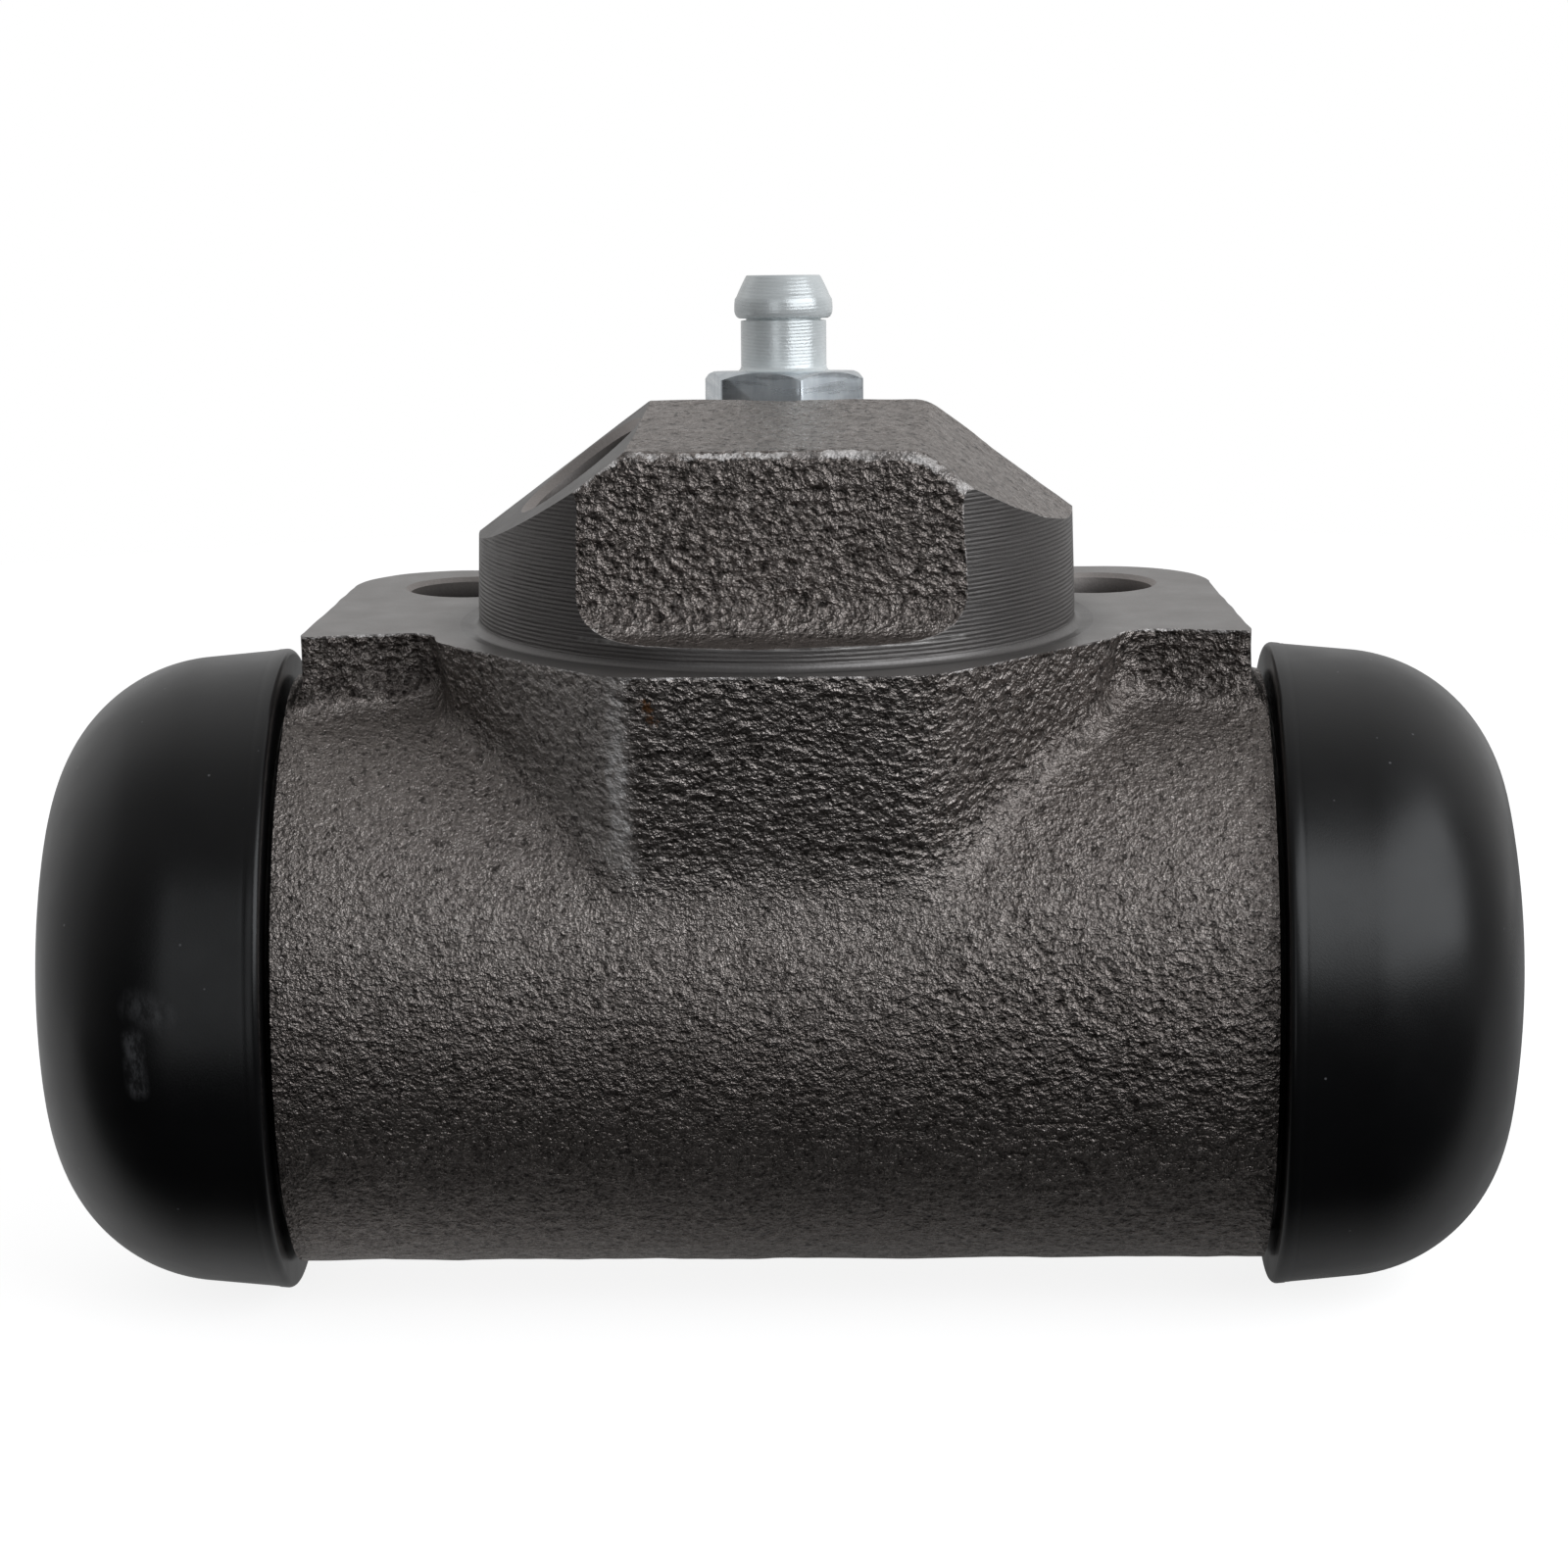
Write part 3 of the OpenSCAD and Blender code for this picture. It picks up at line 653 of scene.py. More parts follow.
def apply_steps(piece):
    """Makes the Boolean steps of a piece its own mesh, and removes their tools."""
    tools = [step.object.data for step in piece.modifiers]
    finished = piece.evaluated_get(bpy.context.evaluated_depsgraph_get())
    piece.data = bpy.data.meshes.new_from_object(finished)
    piece.modifiers.clear()
    for tool in tools:
        for user in [o for o in scene.collection.objects if o.data == tool]:
            bpy.data.objects.remove(user)
        bpy.data.meshes.remove(tool)


along_bore = Matrix.Translation((0, 0, -BORE_DROP)) @ Matrix.Rotation(math.pi / 2, 4, "Y")
at_bleeder = Matrix.Translation(BLEEDER) @ Matrix.Rotation(-TILT, 4, "X")
port_fall = (PORT_MILL + PORT_FRONT * math.tan(PORT_TILT)) / math.cos(SHOULDER_TURN)
port_z = SHOULDER_Z - port_fall + (PILOT_R - PORT_OFFSET) * math.tan(SHOULDER_TURN)
at_port = (Matrix.Translation((-PORT_OFFSET, -PORT_FRONT, port_z))
           @ Matrix.Rotation(-SHOULDER_TURN, 4, "Y") @ Matrix.Rotation(PORT_TILT, 4, "X"))
# The finishes' places in the list below, where the cast skin has place 0.
TURNED, FACED, UNDERCUT, MILLED, DRILLED, PORTED, BORED, NECKED = range(1, 9)
body_finishes = [
    cast_skin(),
    machined("turned_iron", (0.17, 0.16, 0.155), 0.42, lines=0.28, burr_and_highlight=True),
    machined("faced_iron", (0.315, 0.297, 0.288), 0.34, foot_shade=True),
    machined("undercut_iron", (0.2, 0.19, 0.185), 0.36),
    machined("milled_iron", (0.205, 0.195, 0.19), 0.45),
    machined("drilled_iron", (0.5, 0.46, 0.44), 0.55, mouth=((0, 0, 0), (0, 0, 1))),
    machined("port_iron", (0.5, 0.46, 0.44), 0.55, mouth=(at_port.translation, at_port.col[2].to_3d())),
    machined("bored_iron", (0.4, 0.4, 0.4), 0.25, lines=0.4, axis=0),
    # The necks' iron is near black, painted shade for the gap under the boots' lips.
    machined("neck_iron_painted_shade", (0.07, 0.067, 0.065), 0.5, lines=0.4, axis=0),
]
for made in body_finishes:
    body_mesh.materials.append(made)
foot_mid = (PILOT_R + FOOT_ROUND, FOOT_ROUND - FOOT_SINK)
turning = (
    [(CUT_R, 0), (foot_mid[0] + FOOT_RUN, 0)]
    + arc(foot_mid, FOOT_ROUND, 270, 180, 10)
    + [(PILOT_R, RING_TOP), (PILOT_R - PILOT_TAPER, PILOT_TOP)]
    + [(TURNING_TOP_R, TURNING_TOP), (CUT_R, TURNING_TOP)])
shoulder = bmesh.new()
bmesh.ops.create_cube(shoulder, size=1, matrix=(
    at_port @ Matrix.Translation((MILL_SHIFT, 0, MILL_SIZE[2] / 2)) @ Matrix.Diagonal((*MILL_SIZE, 1))))
shoulder_mesh = bpy.data.meshes.new("shoulder")
shoulder.to_mesh(shoulder_mesh)
shoulder.free()


def countersink(radius, chamfer):
    """The last points of a hole's profile, chamfered at the face and carried on past it."""
    edge = radius + chamfer
    return [(radius, -chamfer), (edge, 0), (edge + OVERCUT, OVERCUT), (0, OVERCUT)]


def turned_finish(normal):
    if abs(normal.z) < WALL_SLOPE:
        return TURNED
    return FACED if abs(normal.z) > FACE_SLOPE else UNDERCUT


port = [(0, -DRILL_REACH), (PORT_DRILL_R, -DRILL_REACH), (PORT_DRILL_R, -PORT_CONE)]
port += [(PORT_R, -PORT_DEPTH)] + countersink(PORT_R, PORT_CHAMFER)
spot = [(0, 0), (SPOT_R, 0), (SPOT_R, SPOT_CLEAR), (0, SPOT_CLEAR)]
seat = [(0, -DRILL_REACH), (SEAT_DRILL_R, -DRILL_REACH), (SEAT_DRILL_R, -SEAT_FOOT)]
seat += [(SEAT_TIP_R, -SEAT_FOOT), (SEAT_R, -SEAT_TOP), (SEAT_R, -TAP_DEPTH)]
seat += [(TAP_R, -TAP_DEPTH), (TAP_R, OVERCUT), (0, OVERCUT)]
bolt = [(0, -BOLT_TIP), (BOLT_R, -BOLT_DEPTH)] + countersink(BOLT_R, BOLT_CHAMFER)
mouth_r = BORE_R + BORE_CHAMFER
bore_end = [(BORE_R, BORE_HALF - BORE_CHAMFER), (mouth_r, BORE_HALF),
            (mouth_r + BORE_CLEAR, BORE_HALF + BORE_CLEAR), (0, BORE_HALF + BORE_CLEAR)]
bore = [(r, -h) for r, h in reversed(bore_end)] + bore_end
neck = [(CUT_R, BARREL_HALF), (NECK_R, BARREL_HALF), (NECK_R, GROOVE_START), (GROOVE_R, GROOVE_START),
        (GROOVE_R, GROOVE_STOP), (NECK_R, GROOVE_STOP), (NECK_R, BORE_HALF),
        (NECK_FACE_R, BORE_HALF), (NECK_FACE_R, NECK_CLEAR), (CUT_R, NECK_CLEAR)]
cut(body, lathe(turning, steps=288, closed=True), turned_finish)
cut(body, shoulder_mesh, lambda n: MILLED)
cut(body, lathe(port, steps=96, place=at_port), lambda n: PORTED)
cut(body, lathe(spot, steps=96, place=at_bleeder), lambda n: MILLED)
cut(body, lathe(seat, steps=64, place=at_bleeder), lambda n: DRILLED)
cut(body, lathe(bore, steps=160, place=along_bore), lambda n: BORED)
for side in (-1, 1):
    at_bolt = Matrix.Translation((side * BOLT_HALF, BOLT_BACK, 0))
    cut(body, lathe(bolt, steps=72, place=at_bolt), lambda n: DRILLED)
    end = Matrix.Rotation(math.pi if side < 0 else 0, 4, "Z") @ along_bore
    cut(body, lathe(neck, steps=192, place=end, closed=True), lambda n: NECKED)
apply_steps(body)
body_mesh = body.data


def mark_edges(mesh, limit=35):
    """Shades a mesh smoothly, but not over edges between finishes or sharper than a limit in degrees."""
    faces = len(mesh.polygons)
    loops = np.zeros(faces, np.int32)
    mesh.polygons.foreach_get("loop_total", loops)
    finishes = np.zeros(faces, np.int32)
    mesh.polygons.foreach_get("material_index", finishes)
    normals = np.zeros(faces * 3)
    mesh.polygons.foreach_get("normal", normals)
    normals = normals.reshape(-1, 3)
    edge_of = np.zeros(len(mesh.loops), np.int32)
    mesh.loops.foreach_get("edge_index", edge_of)
    face_of = np.repeat(np.arange(faces), loops)
    order = np.argsort(edge_of, kind="stable")
    edges, first, count = np.unique(edge_of[order], return_index=True, return_counts=True)
    pair = count == 2
    a, b = face_of[order[first[pair]]], face_of[order[first[pair] + 1]]
    sharp = np.ones(len(mesh.edges), bool)
    bent = (normals[a] * normals[b]).sum(1) < math.cos(math.radians(limit))
    sharp[edges[pair]] = bent | (finishes[a] != finishes[b])
    mesh.shade_smooth()
    marks = mesh.attributes.get("sharp_edge") or mesh.attributes.new("sharp_edge", "BOOLEAN", "EDGE")
    marks.data.foreach_set("value", sharp)


def fade(distance, start, width):
    """Goes down from start as the distance grows, by 1 in each width, and stays between 0 and 1."""
    return np.clip(start - distance / width, 0, 1)


def rise(value, start, run):
    """Goes up from 0 at start to 1 a run further on."""
    return np.clip((value - start) / run, 0, 1)


mark_edges(body_mesh)
body_points = np.zeros(len(body_mesh.vertices) * 3)
body_mesh.vertices.foreach_get("co", body_points)
body_points = body_points.reshape(-1, 3)
px, py, pz = body_points.T
on_barrel = barrel_form(px, py, pz)
on_pedestal = pedestal_form(px, py, pz)
on_ear = fade(np.abs(ear_form(px, py, pz)), 1.6, 0.5)
ax, ay = np.abs(px), np.abs(py)
on_flat = np.abs(ay - PILOT_FLAT)
on_top = np.abs(block_half(px, pz, ay * DRAFT))
slant = ax * math.sin(FACET_TURN) + ay * math.cos(FACET_TURN)
on_facet = np.abs(leaning(slant, FLANGE_R, FOOT_SIDE, pz))
on_crease = np.maximum(on_facet, np.abs(leaning(ay, FLANGE_R, FOOT_FRONT, pz)))
above_barrel = rise(on_barrel, 0, 1.2)

# Relief: smoothest on the barrel, coarser low on it and to the right, coarsest on the pedestal,
# the ears and the flat.
coarse = np.clip(0.55 + 0.12 * (on_barrel - on_pedestal), 0.36, 0.85) + 0.15 * rise(px, 8, 4)
coarse = coarse + 0.2 * rise(-pz, 13, 6) * fade(on_barrel, 1, 1)
coarse = coarse + on_ear * (0.9 - coarse)
coarse = np.where(pz > 0, np.clip(1.1 - 0.5 * on_flat, 0.52, 0.82), coarse)

# Tone, mostly painted light and shade: painted shade low on the barrel and on the ears, darker to the
# right and on the flats of the block, painted light on the left facet and the crease beside it.
tone_and_painted_light = np.clip(0.22 + 0.02 * (on_barrel - on_pedestal), 0.22, 0.27) - 0.1 * rise(px, 8, 10)
# Painted shade low on the barrel.
tone_and_painted_light = tone_and_painted_light - 0.24 * rise(-pz, 16.5, 8)
# Painted light on the left facet, growing away from the ear, and along the crease beside it, above the
# barrel.
left = 0.75 * fade(on_facet, 1.6, 0.7) * rise(ay, 6, 10)
left = np.maximum(left, 0.8 * fade(on_crease, 1.8, 0.8)) * above_barrel
tone_and_painted_light = np.where(px < 0, np.maximum(tone_and_painted_light, left), tone_and_painted_light)
# Painted shade on the ears.
tone_and_painted_light = tone_and_painted_light + on_ear * (-0.28 - tone_and_painted_light)
tone_and_painted_light = np.where(pz > 0, np.clip(0.4 * on_flat - 0.2, 0, 0.22), tone_and_painted_light)

# Bright edges in the bare iron colour: along the turned edges, above the ring only on the right, and
# along the top edge of the flat, more to the right; along the left crease of the pedestal it is a
# painted highlight.
wall = PILOT_R - PILOT_TAPER * (pz - RING_TOP) / (PILOT_TOP - RING_TOP)
wear_and_highlight = fade(np.where(pz > 0.5, wall - np.hypot(px, py), -pz), 1, 0.3)
wear_and_highlight = np.where(pz > RING_TOP + 0.8, wear_and_highlight * np.where(px > 0, 0.7, 0), wear_and_highlight)
corner = fade(np.maximum(on_flat, on_top), 1.6, 0.65) * (0.72 + 0.28 * rise(px, 0, 8))
wear_and_highlight = np.where(pz > 3, np.maximum(wear_and_highlight, corner), wear_and_highlight)
# Painted highlight along the left crease of the pedestal, in the bare iron colour.
ridge = 0.75 * fade(on_crease, 1.9, 0.8) * above_barrel
wear_and_highlight = np.where((px < 0) & (pz < 0), np.maximum(wear_and_highlight, ridge), wear_and_highlight)
for name, values in (("coarse", coarse), ("tone_and_painted_light", tone_and_painted_light), ("wear_and_highlight", wear_and_highlight)):
    body_mesh.attributes.new(name, "FLOAT", "POINT").data.foreach_set("value", values)
body_mesh.transform(Matrix.Scale(MM, 4))
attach(body, "cylinder")
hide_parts("cylinder_body")


# Dust boots
# Moulded black rubber, stretched over the turned necks with a bead in each neck's groove; the
# lip has a fine parting line, and the end a hole for the push rod.
LIP_R = 20.75
LIP_X = 31.5
LIP_ROUND = 0.4
RIM_WIDTH = 1.05
LINE_DEPTH = 0.09
LINE_HALF = 0.05
LINE_SIDE = 0.2
LINE_FOOT = 0.25
LIP_DRAFT = 0.04
BODY_DRAFT = 0.02
BOOT_WALL = 2.2
BOOT_END = 16.3
CORNER_R = 10.9
CORNER_AT = (9.40, 4.45)
DOME_R = 58.0
DOME_AT = (0, BOOT_END - DOME_R)
DRAFT_ANGLE = 4.4
END_ANGLE = 11.51
ROD_R = 6.5
ROD_ROUND = (0.2, 0.25)
BOOT_FIT = 0.05
BEAD_START = 1.35
BEAD_STOP = 3.65
BOOT_GRIP = 5.12
DUST_AND_HIGHLIGHT = (0.2, 0.2, 0.21)


dust_group, given, result = effect("dust", {"Place": "Vector"}, {"Share": "Float"})
motes = shade(dust_group, "TexVoronoi", {"Vector": given["Place"], "Scale": 0.45, "Randomness": 1.0})
motes = ramp(dust_group, motes.outputs["Distance"], (0.028, 1.0), (0.045, 0.0))
motes = number(dust_group, "MULTIPLY", motes, grain(dust_group, given["Place"], 3.0))
dust_group.links.new(motes, result["Share"])


def rubber(name, tint, rough, painted_highlights=()):
    """Moulded rubber with a little dust, and painted highlights drawn as grey scuffs. A highlight is two
    points, a width and a strength.
    """
    made, tree, surface, place = finish(name, Specular_IOR_Level=0.5)
    cloud = grain(tree, place, 6.0, 3.0, 0.6)
    fine = grain(tree, place, 0.12, 1.0)
    lift = placed(tree, dust_group, Place=place)["Share"]
    roughness = ramp(tree, cloud, (0.3, rough - 0.03), (0.75, rough + 0.06))
    # Each painted highlight lifts the colour to the dust grey and roughens it along a line.
    for start, stop, width, strength in painted_highlights:
        near = streak(tree, place, start, stop)
        near = number(tree, "MULTIPLY_ADD", near, -1 / width, 1.0, clamp=True)
        torn = ramp(tree, grain(tree, place, 0.5, 4.0, 0.75, (1, 1, 0.45)), (0.42, 0.1), (0.62, 1.0))
        highlighted = number(tree, "MULTIPLY", number(tree, "MULTIPLY", near, torn), strength)
        lift = number(tree, "MAXIMUM", lift, highlighted)
        roughness = number(tree, "MULTIPLY_ADD", near, 0.2 * strength, roughness)
    tree.links.new(mixed(tree, lift, tint, DUST_AND_HIGHLIGHT), surface.inputs["Base Color"])
    tree.links.new(roughness, surface.inputs["Roughness"])
    bumped(tree, surface, fine, distance=0.004)
    return made


def on_dome(radius, r):
    """How far along the boot a dome of a radius reaches at a distance r from its axis."""
    return DOME_AT[1] + math.sqrt(radius ** 2 - r ** 2)


# Painted highlights on the front of the left boot, drawn as grey scuffs.
boot_highlights = [((-39.1, -19.8, -20.6), (-37.8, -20.0, -21.0), 1.5, 0.25),
               ((-39.4, -19.7, -22.6), (-39.2, -19.5, -25.8), 0.9, 0.6)]
black_rubber = rubber("black_rubber", (0.004, 0.004, 0.0045), 0.3, boot_highlights)
slope = math.tan(math.radians(DRAFT_ANGLE))
inner_r = NECK_R + BOOT_FIT
bead_r = GROOVE_R + BOOT_FIT
inner_dome_r = DOME_R - BOOT_WALL
inner_corner_r = CORNER_R - BOOT_WALL
outer_dome = math.degrees(math.asin(ROD_R / DOME_R))
inner_dome = math.degrees(math.asin(ROD_R / inner_dome_r))
line_foot = RIM_WIDTH + LINE_FOOT
rod_lip_r = ROD_R - ROD_ROUND[0]
lip = [(inner_r, 0)] + arc((LIP_R - LIP_ROUND, LIP_ROUND), LIP_ROUND, -90, 0, 6)
parting_line = [
    (LIP_R - LIP_DRAFT, RIM_WIDTH - LINE_SIDE),
    (LIP_R - LINE_DEPTH, RIM_WIDTH - LINE_HALF),
    (LIP_R - LINE_DEPTH, RIM_WIDTH + LINE_HALF),
    (LIP_R - slope * line_foot - BODY_DRAFT, line_foot)]
outside = (
    arc(CORNER_AT, CORNER_R, DRAFT_ANGLE, 90 - END_ANGLE, 28)
    + arc(DOME_AT, DOME_R, 90 - END_ANGLE, 90 - outer_dome, 6)[1:])
rod_hole = [
    (rod_lip_r, on_dome(DOME_R, ROD_R) - ROD_ROUND[1]),
    (rod_lip_r, on_dome(inner_dome_r, ROD_R) + ROD_ROUND[1])]
inside = (
    arc(DOME_AT, inner_dome_r, 90 - inner_dome, 90 - END_ANGLE, 4)
    + arc(CORNER_AT, inner_corner_r, 90 - END_ANGLE, DRAFT_ANGLE, 12)[1:])
bead = [(inner_r, BOOT_GRIP), (inner_r, BEAD_STOP), (bead_r, BEAD_STOP), (bead_r, BEAD_START)]
bead += [(inner_r, BEAD_START)]
boot_profile = lip + parting_line + outside + rod_hole + inside + bead
for side, name in ((-1, "left_boot"), (1, "right_boot")):
    end = Matrix.Rotation(math.pi if side < 0 else 0, 4, "Z") @ along_bore
    at_lip = end @ Matrix.Translation((0, 0, LIP_X))
    boot_mesh = lathe(boot_profile, steps=192, place=at_lip, closed=True)
    boot_mesh.materials.append(black_rubber)
    mark_edges(boot_mesh, limit=40)
    boot_mesh.transform(Matrix.Scale(MM, 4))
    boot = new_piece(name + "_rubber", boot_mesh)
    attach(boot, "cylinder")
    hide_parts(name)


# Bleeder screw
# Turned from hexagon steel bar and zinc plated; its thread and nose sit in the drilled seat,
# and the nipple's barb holds a hose.
HEX_FLATS = 9.5
HEX_GAP = 0.1
HEX_TALL = 4.3
HEX_TURN = math.radians(13)
HEX_ROUND = 0.18
HEX_CROWN = ((0.12, 0.12), (-0.15, 0.0))
CROWN_EDGE = 0.55
CROWN_CLEAR = 1.0
THREAD_R = 3.9
THREAD_PITCH = 1.0
THREAD_ROOT = THREAD_R - 0.45
THREAD_START = -12.0
THREAD_TURNS = 11
RIDGE = ((THREAD_ROOT, 0.1), (THREAD_R, 0.5), (THREAD_R, 0.65))
NOSE = ((0.0, -17.0), (1.0, -17.0), (2.7, -15.4), (2.7, -12.05))
SHANK_TOP = -0.9
HEX_INSIDE = 1.0
COLLAR_R = 3.15
COLLAR_SINK = 0.1
STEM_R = 2.8
STEM_FILLET = COLLAR_R - STEM_R
NECK_TOP = 7.8
BARB_R = 3.22
BARB = (
    (STEM_R, -0.1), (2.45, -0.06), (2.45, 0.03), (2.9, 0.05), (3.06, 0.14), (3.16, 0.3), (3.21, 0.48),
    (BARB_R, 0.7), (3.21, 1.0), (3.18, 1.3), (3.05, 1.5), (2.9, 1.86), (2.74, 2.2), (2.46, 2.76))
TIP_AT = (2.34, 2.73)
TIP_ROUND = 0.12
TIP_HOLE_R = 1.0
TIP_CHAMFER = 0.15
HOLE_FOOT = -14.0
DULL_ZINC = ((0.87, 0.92, 0.93), (0.94, 0.98, 0.985))
BARE_ZINC = ((0.47, 0.52, 0.57), (0.92, 0.96, 0.98))


def zinc_plate():
    """Zinc plate, dull where it was turned and brighter on the flats of the hexagon."""
    made, tree, surface, place = finish("zinc_plate")
    cloud = grain(tree, place, 1.6, 3.0, 0.6)
    fine = grain(tree, place, 0.1, 2.0)
    away = streak(tree, place, at_bleeder @ Vector((0, 0, -20)), at_bleeder @ Vector((0, 0, 20)))
    flats = number(tree, "MULTIPLY_ADD", away, 3.0, -3 * (BARB_R + 0.6), clamp=True)
    streaks = grain(tree, place, 0.6, 3.0, 0.65, (1, 1, 0.25))
    turned = mixed(tree, cloud, *DULL_ZINC)
    bare = mixed(tree, streaks, *BARE_ZINC)
    tree.links.new(mixed(tree, flats, turned, bare), surface.inputs["Base Color"])
    tree.links.new(number(tree, "MULTIPLY_ADD", flats, 0.65, 0.3), surface.inputs["Metallic"])
    bands = grain(tree, place, 0.5, 2.0, 0.6, (0.1, 0.1, 1))
    roughness = ramp(tree, bands, (0.35, 0.34), (0.65, 0.17))
    tree.links.new(number(tree, "MULTIPLY_ADD", flats, 0.04, roughness), surface.inputs["Roughness"])
    up = shade(tree, "SeparateXYZ", {0: place}).outputs[2]
    rings = placed(tree, turning_group, Along=up, Pitch=0.22)["Height"]
    relief = number(tree, "MULTIPLY_ADD", rings, 0.25, fine)
    relief = number(tree, "MULTIPLY", relief, number(tree, "MULTIPLY_ADD", flats, -0.95, 1.0))
    bumped(tree, surface, relief, distance=0.012)
    return made


zinc = zinc_plate()
hex_r = HEX_FLATS / 2 / math.cos(math.pi / 6)
hexagon = bmesh.new()
bmesh.ops.create_cone(hexagon, cap_ends=True, segments=6, radius1=hex_r, radius2=hex_r, depth=HEX_TALL)
uprights = [e for e in hexagon.edges if abs(e.verts[0].co.z - e.verts[1].co.z) > 1]
bmesh.ops.bevel(hexagon, geom=uprights, offset=HEX_ROUND, affect="EDGES", segments=3, profile=0.5,
                material=-1)
bmesh.ops.transform(hexagon, verts=hexagon.verts, matrix=(
    at_bleeder @ Matrix.Rotation(HEX_TURN, 4, "Z") @ Matrix.Translation((0, 0, HEX_GAP + HEX_TALL / 2))))
screw_mesh = bpy.data.meshes.new("bleeder")
hexagon.to_mesh(screw_mesh)
hexagon.free()
screw = new_piece("bleeder", screw_mesh)
hex_top = HEX_GAP + HEX_TALL
clear_r = hex_r + CROWN_CLEAR
crown = [(HEX_FLATS / 2 + out, hex_top - down) for out, down in HEX_CROWN]
crown_foot = hex_top - CROWN_EDGE
rounding = [(0, -CROWN_CLEAR), (clear_r, -CROWN_CLEAR), (clear_r, crown_foot - CROWN_CLEAR / 2)]
rounding += [(hex_r, crown_foot)] + crown + [(0, hex_top)]
thread = []
for ridge_at in range(THREAD_TURNS):
    thread += [(r, THREAD_START + ridge_at * THREAD_PITCH + h) for r, h in RIDGE]
thread += [(THREAD_ROOT, SHANK_TOP), (THREAD_ROOT, HEX_INSIDE)]
collar = [(COLLAR_R, HEX_INSIDE), (COLLAR_R, hex_top - COLLAR_SINK)]
collar += arc((COLLAR_R, hex_top + STEM_FILLET), STEM_FILLET, 270, 180, 6)
tip_mid = (TIP_AT[0], NECK_TOP + TIP_AT[1])
tip_top = tip_mid[1] + TIP_ROUND
barb = [(r, NECK_TOP + h) for r, h in BARB] + arc(tip_mid, TIP_ROUND, 20, 90, 4)
hole = [(TIP_HOLE_R + TIP_CHAMFER, tip_top), (TIP_HOLE_R, tip_top - TIP_CHAMFER)]
hole += [(TIP_HOLE_R, HOLE_FOOT), (0, HOLE_FOOT)]
stem = list(NOSE) + thread + collar + barb + hole
combine(screw, "INTERSECT", lathe(rounding, steps=128, place=at_bleeder))
combine(screw, "UNION", lathe(stem, steps=96, place=at_bleeder))
apply_steps(screw)
screw_mesh = screw.data
screw_mesh.materials.clear()
screw_mesh.materials.append(zinc)
mark_edges(screw_mesh, limit=28)
screw_mesh.transform(Matrix.Scale(MM, 4))
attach(screw, "bleeder")
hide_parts("bleeder_screw")


# Pistons, cups, expanders and spring
# Turned aluminium pistons push on moulded rubber cups; pressed steel expanders keep the cups'
# lips out, and a coil of drawn wire, made in two halves, holds them apart inside the bore.
SPRING_HALF = 14.4
SPRING_R = 7.5
SPRING_TURNS = 6
CLOSED_TURNS = 0.75
COIL_GAP = 0.1
WIRE_R = 0.6
RINGS = 24


def bright_metal(name, dark, light, rough, pitch=0.0):
    """Bare metal between two tones, with turning lines along the bore if it has a pitch."""
    made, tree, surface, place = finish(name, Metallic=1.0)
    cloud = grain(tree, place, 2.2, 3.0, 0.6)
    fine = grain(tree, place, 0.1, 2.0)
    tree.links.new(mixed(tree, cloud, dark, light), surface.inputs["Base Color"])
    roughness = ramp(tree, cloud, (0.3, rough + 0.08), (0.75, rough - 0.06))
    tree.links.new(roughness, surface.inputs["Roughness"])
    height = fine
    if pitch:
        along = shade(tree, "SeparateXYZ", {0: place}).outputs[0]
        lines = placed(tree, turning_group, Along=along, Pitch=pitch)["Height"]
        height = number(tree, "MULTIPLY_ADD", lines, 0.5, fine)
    bumped(tree, surface, height, distance=0.015)
    return made


piston_finish = bright_metal("turned_aluminium", (0.5, 0.51, 0.53), (0.74, 0.75, 0.77), 0.3, pitch=0.2)
pressed_finish = bright_metal("pressed_steel", (0.34, 0.34, 0.33), (0.55, 0.55, 0.53), 0.36)
wire_finish = bright_metal("drawn_wire", (0.26, 0.27, 0.28), (0.44, 0.45, 0.47), 0.32)
cup_finish = rubber("cup_rubber", (0.014, 0.014, 0.014), 0.5)
hidden = {}
for side in ("left", "right"):
    hidden[side + "_piston"] = piston_finish
    hidden[side + "_cup"] = cup_finish
    hidden[side + "_cup_expander"] = pressed_finish
for name, made in hidden.items():
    for slot in nodes[name].material_slots:
        slot.material = made
closed_steps = round(CLOSED_TURNS * RINGS)
open_steps = round((SPRING_TURNS / 2 - CLOSED_TURNS) * RINGS)
closed_run = CLOSED_TURNS * (WIRE_R * 2 + COIL_GAP)
for side, name in ((-1, "left"), (1, "right")):
    wire = bmesh.new()
    start = Matrix.Translation((side * (SPRING_HALF - WIRE_R), SPRING_R, 0))
    bmesh.ops.create_circle(wire, segments=12, radius=WIRE_R, matrix=start)
    swept = wire.verts[:] + wire.edges[:]
    for steps, run in ((closed_steps, closed_run), (open_steps, SPRING_HALF - WIRE_R - closed_run)):
        swept = bmesh.ops.spin(
            wire, geom=swept, axis=(-side, 0, 0), cent=(0, 0, 0), steps=steps,
            dvec=(-side * run / steps, 0, 0), angle=2 * math.pi * steps / RINGS)["geom_last"]
    bmesh.ops.holes_fill(wire, edges=[e for e in wire.edges if e.is_boundary], sides=0)
    bmesh.ops.recalc_face_normals(wire, faces=wire.faces)
    bmesh.ops.transform(wire, matrix=Matrix.Translation((0, 0, -BORE_DROP)), verts=wire.verts)
    wire_mesh = bpy.data.meshes.new("spring")
    wire.to_mesh(wire_mesh)
    wire.free()
    wire_mesh.materials.append(wire_finish)
    mark_edges(wire_mesh, limit=50)
    wire_mesh.transform(Matrix.Scale(MM, 4))
    spring = new_piece(name + "_spring_half", wire_mesh)
    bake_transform(spring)
    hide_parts("return_spring")


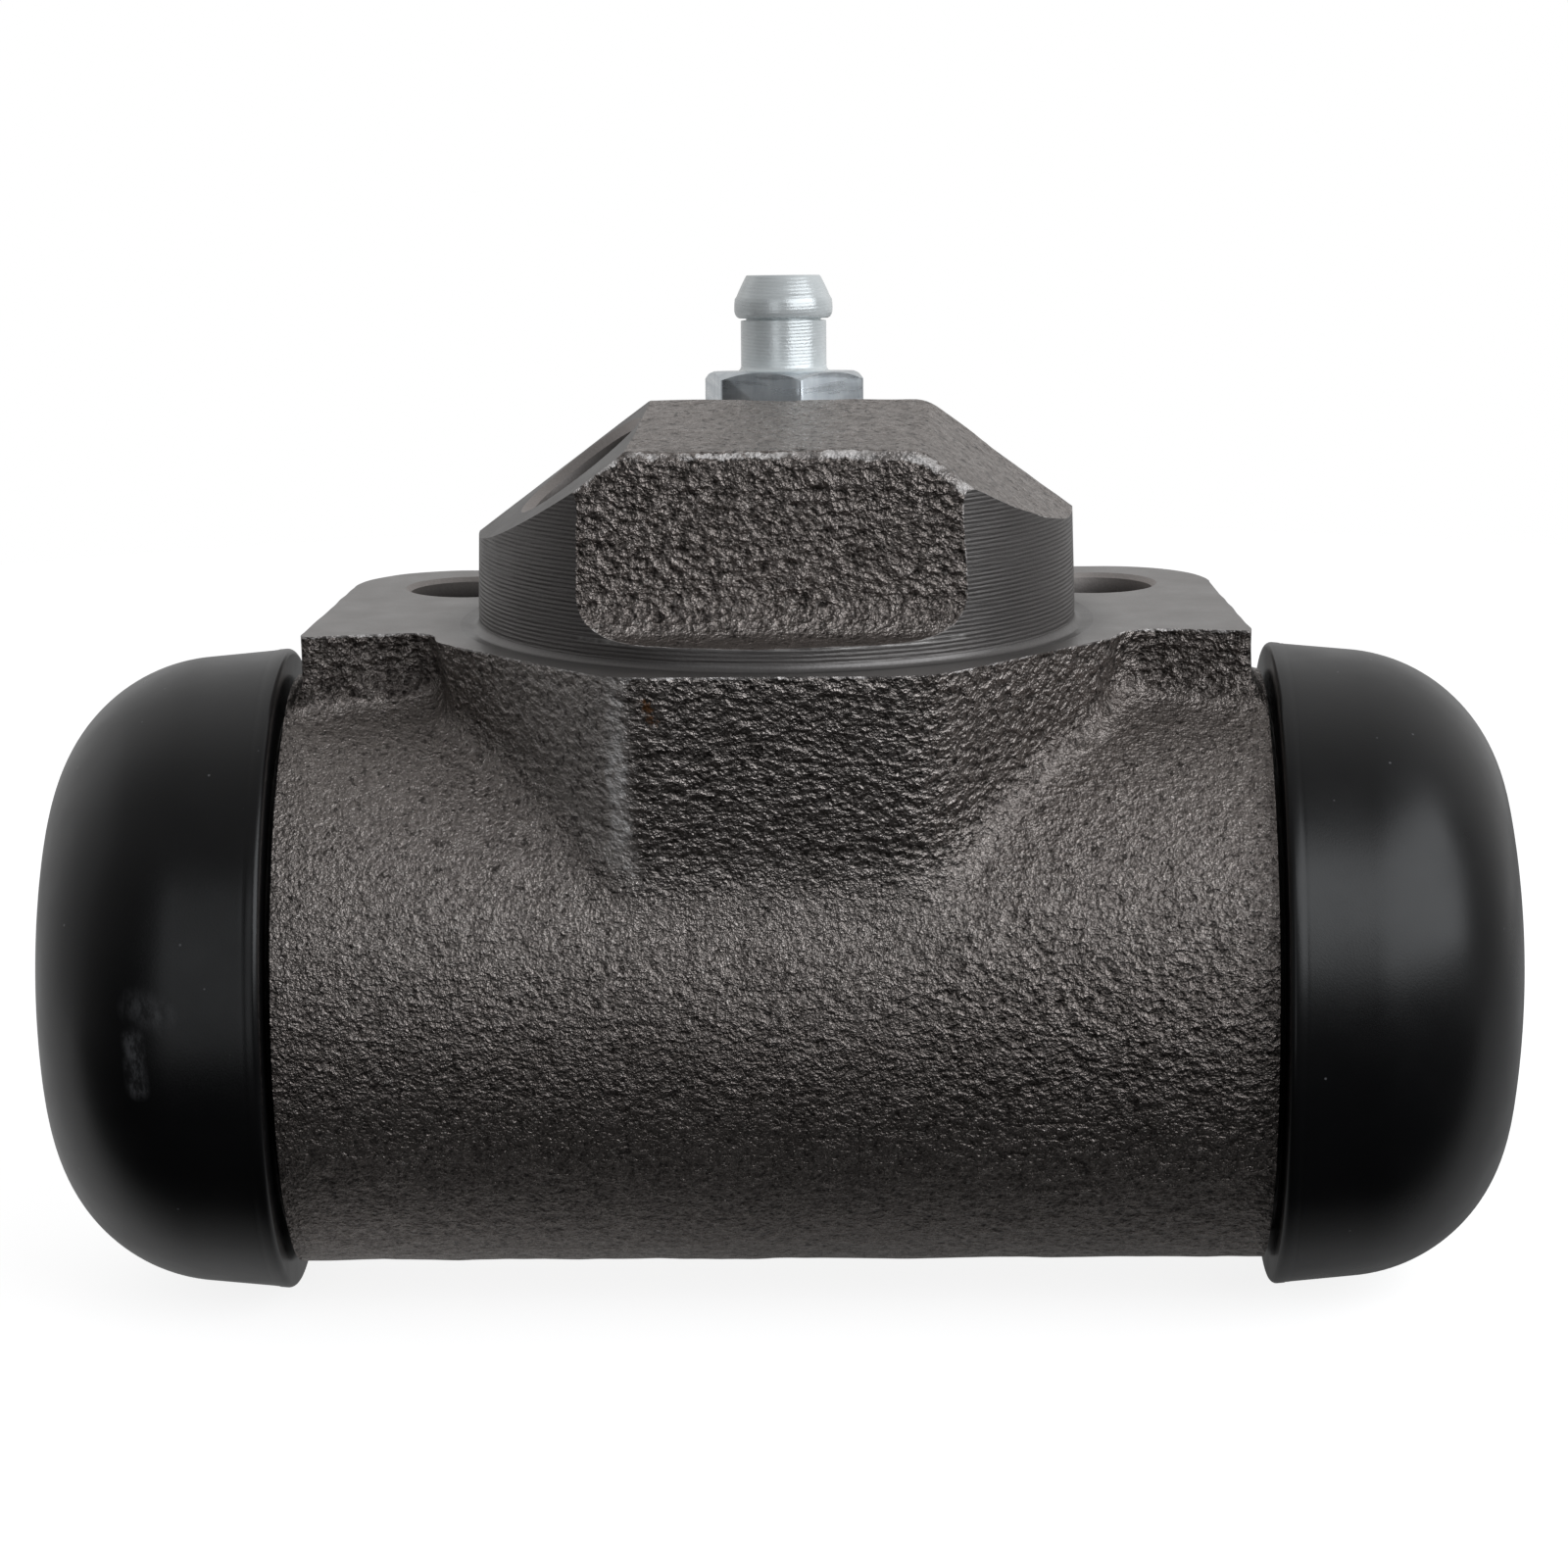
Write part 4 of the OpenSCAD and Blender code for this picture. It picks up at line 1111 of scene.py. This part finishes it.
# Table and light
# A white table in front of a white wall, with a big soft lamp at the right of the camera and a
# tall narrow one at its left; the room behind the camera is dim.
TABLE_Z = -43.6
TABLE_R = 200
TABLE_Y = 130
DARK_TO = -18.0
DARK_FADE = 7.5
LEFT_REACH = 60.0
TABLE_GLOW = 0.86
LAMP_AIM = (0, 0, -0.02)
COOL_LIGHT = (0.94, 0.97, 1.0)


def lamp(name, azimuth, elevation, size, radiance, tint, reach=450):
    """Soft lamp that faces the object from an azimuth right of the camera's side and an elevation."""
    data = bpy.data.lights.new(name, "AREA")
    data.shape = "RECTANGLE"
    data.size, data.size_y = (s * MM for s in size)
    data.energy = radiance * math.pi * data.size * data.size_y
    data.color = tint
    made = bpy.data.objects.new(name, data)
    turn = Matrix.Rotation(math.radians(azimuth), 4, "Z")
    turn = turn @ Matrix.Rotation(math.radians(90 - elevation), 4, "X")
    made.matrix_world = Matrix.Translation(LAMP_AIM) @ turn @ Matrix.Translation((0, 0, reach * MM))
    scene.collection.objects.link(made)


def table_finish():
    """White to the camera. To the light on the part it is dark in front and grey behind, where it
    also glows in reflections, more so at the left."""
    made, tree, surface, place = finish("table", Roughness=0.9, Specular_IOR_Level=0.0)
    path = shade(tree, "LightPath").outputs
    seen = number(tree, "MAXIMUM", path["Is Camera Ray"], path["Is Transmission Ray"])
    across, depth = shade(tree, "SeparateXYZ", {0: place}).outputs[:2]
    behind = number(tree, "MULTIPLY_ADD", depth, 1 / DARK_FADE, -DARK_TO / DARK_FADE, clamp=True)
    colour = mixed(tree, behind, (0.03, 0.03, 0.03), (0.28, 0.28, 0.28))
    tree.links.new(mixed(tree, seen, colour, (0.45, 0.45, 0.45)), surface.inputs["Base Color"])
    shown = number(tree, "MULTIPLY", path["Is Glossy Ray"], behind)
    left = number(tree, "MULTIPLY", across, -1 / LEFT_REACH, clamp=True)
    shown = number(tree, "MULTIPLY", shown, number(tree, "MULTIPLY_ADD", left, 0.22, 0.15))
    glow = number(tree, "MULTIPLY_ADD", seen, TABLE_GLOW, shown)
    surface.inputs["Emission Color"].default_value = (1, 1, 1, 1)
    tree.links.new(glow, surface.inputs["Emission Strength"])
    return made


table = bmesh.new()
bmesh.ops.create_circle(table, cap_ends=True, segments=96, radius=TABLE_R * MM,
                        matrix=Matrix.Translation((0, TABLE_Y * MM, TABLE_Z * MM)))
table_mesh = bpy.data.meshes.new("table")
table.to_mesh(table_mesh)
table.free()
table_mesh.materials.append(table_finish())
new_piece("table", table_mesh)

lamp("right_lamp", 50, 29, (560, 380), 2.1, COOL_LIGHT)
lamp("left_lamp", -20, 12, (160, 500), 0.7, COOL_LIGHT)
lamp("left_card", -105, 12, (350, 420), 0.16, (0.97, 0.98, 1.0))
scene.view_settings.view_transform = "Standard"
world = bpy.data.worlds.new("world")
scene.world = world
world.use_nodes = True
sky = world.node_tree
path = shade(sky, "LightPath").outputs
seen = number(sky, "MAXIMUM", path["Is Camera Ray"], path["Is Transmission Ray"])
toward = shade(sky, "SeparateXYZ", {0: shade(sky, "TexCoord").outputs["Generated"]}).outputs
behind = number(sky, "MULTIPLY_ADD", toward[2], 0.35, toward[1])
behind = number(sky, "MULTIPLY_ADD", behind, 0.5, 0.5, clamp=True)
room = ramp(sky, behind, (0.2, 0.03), (0.4, 0.15), (0.55, 0.2), (0.7, 0.3), (0.85, 0.55), (1.0, 0.6))
strength = number(sky, "MAXIMUM", seen, room)
sky.links.new(strength, sky.nodes["Background"].inputs["Strength"])
sky.nodes["Background"].inputs["Color"].default_value = (1, 1, 1, 1)
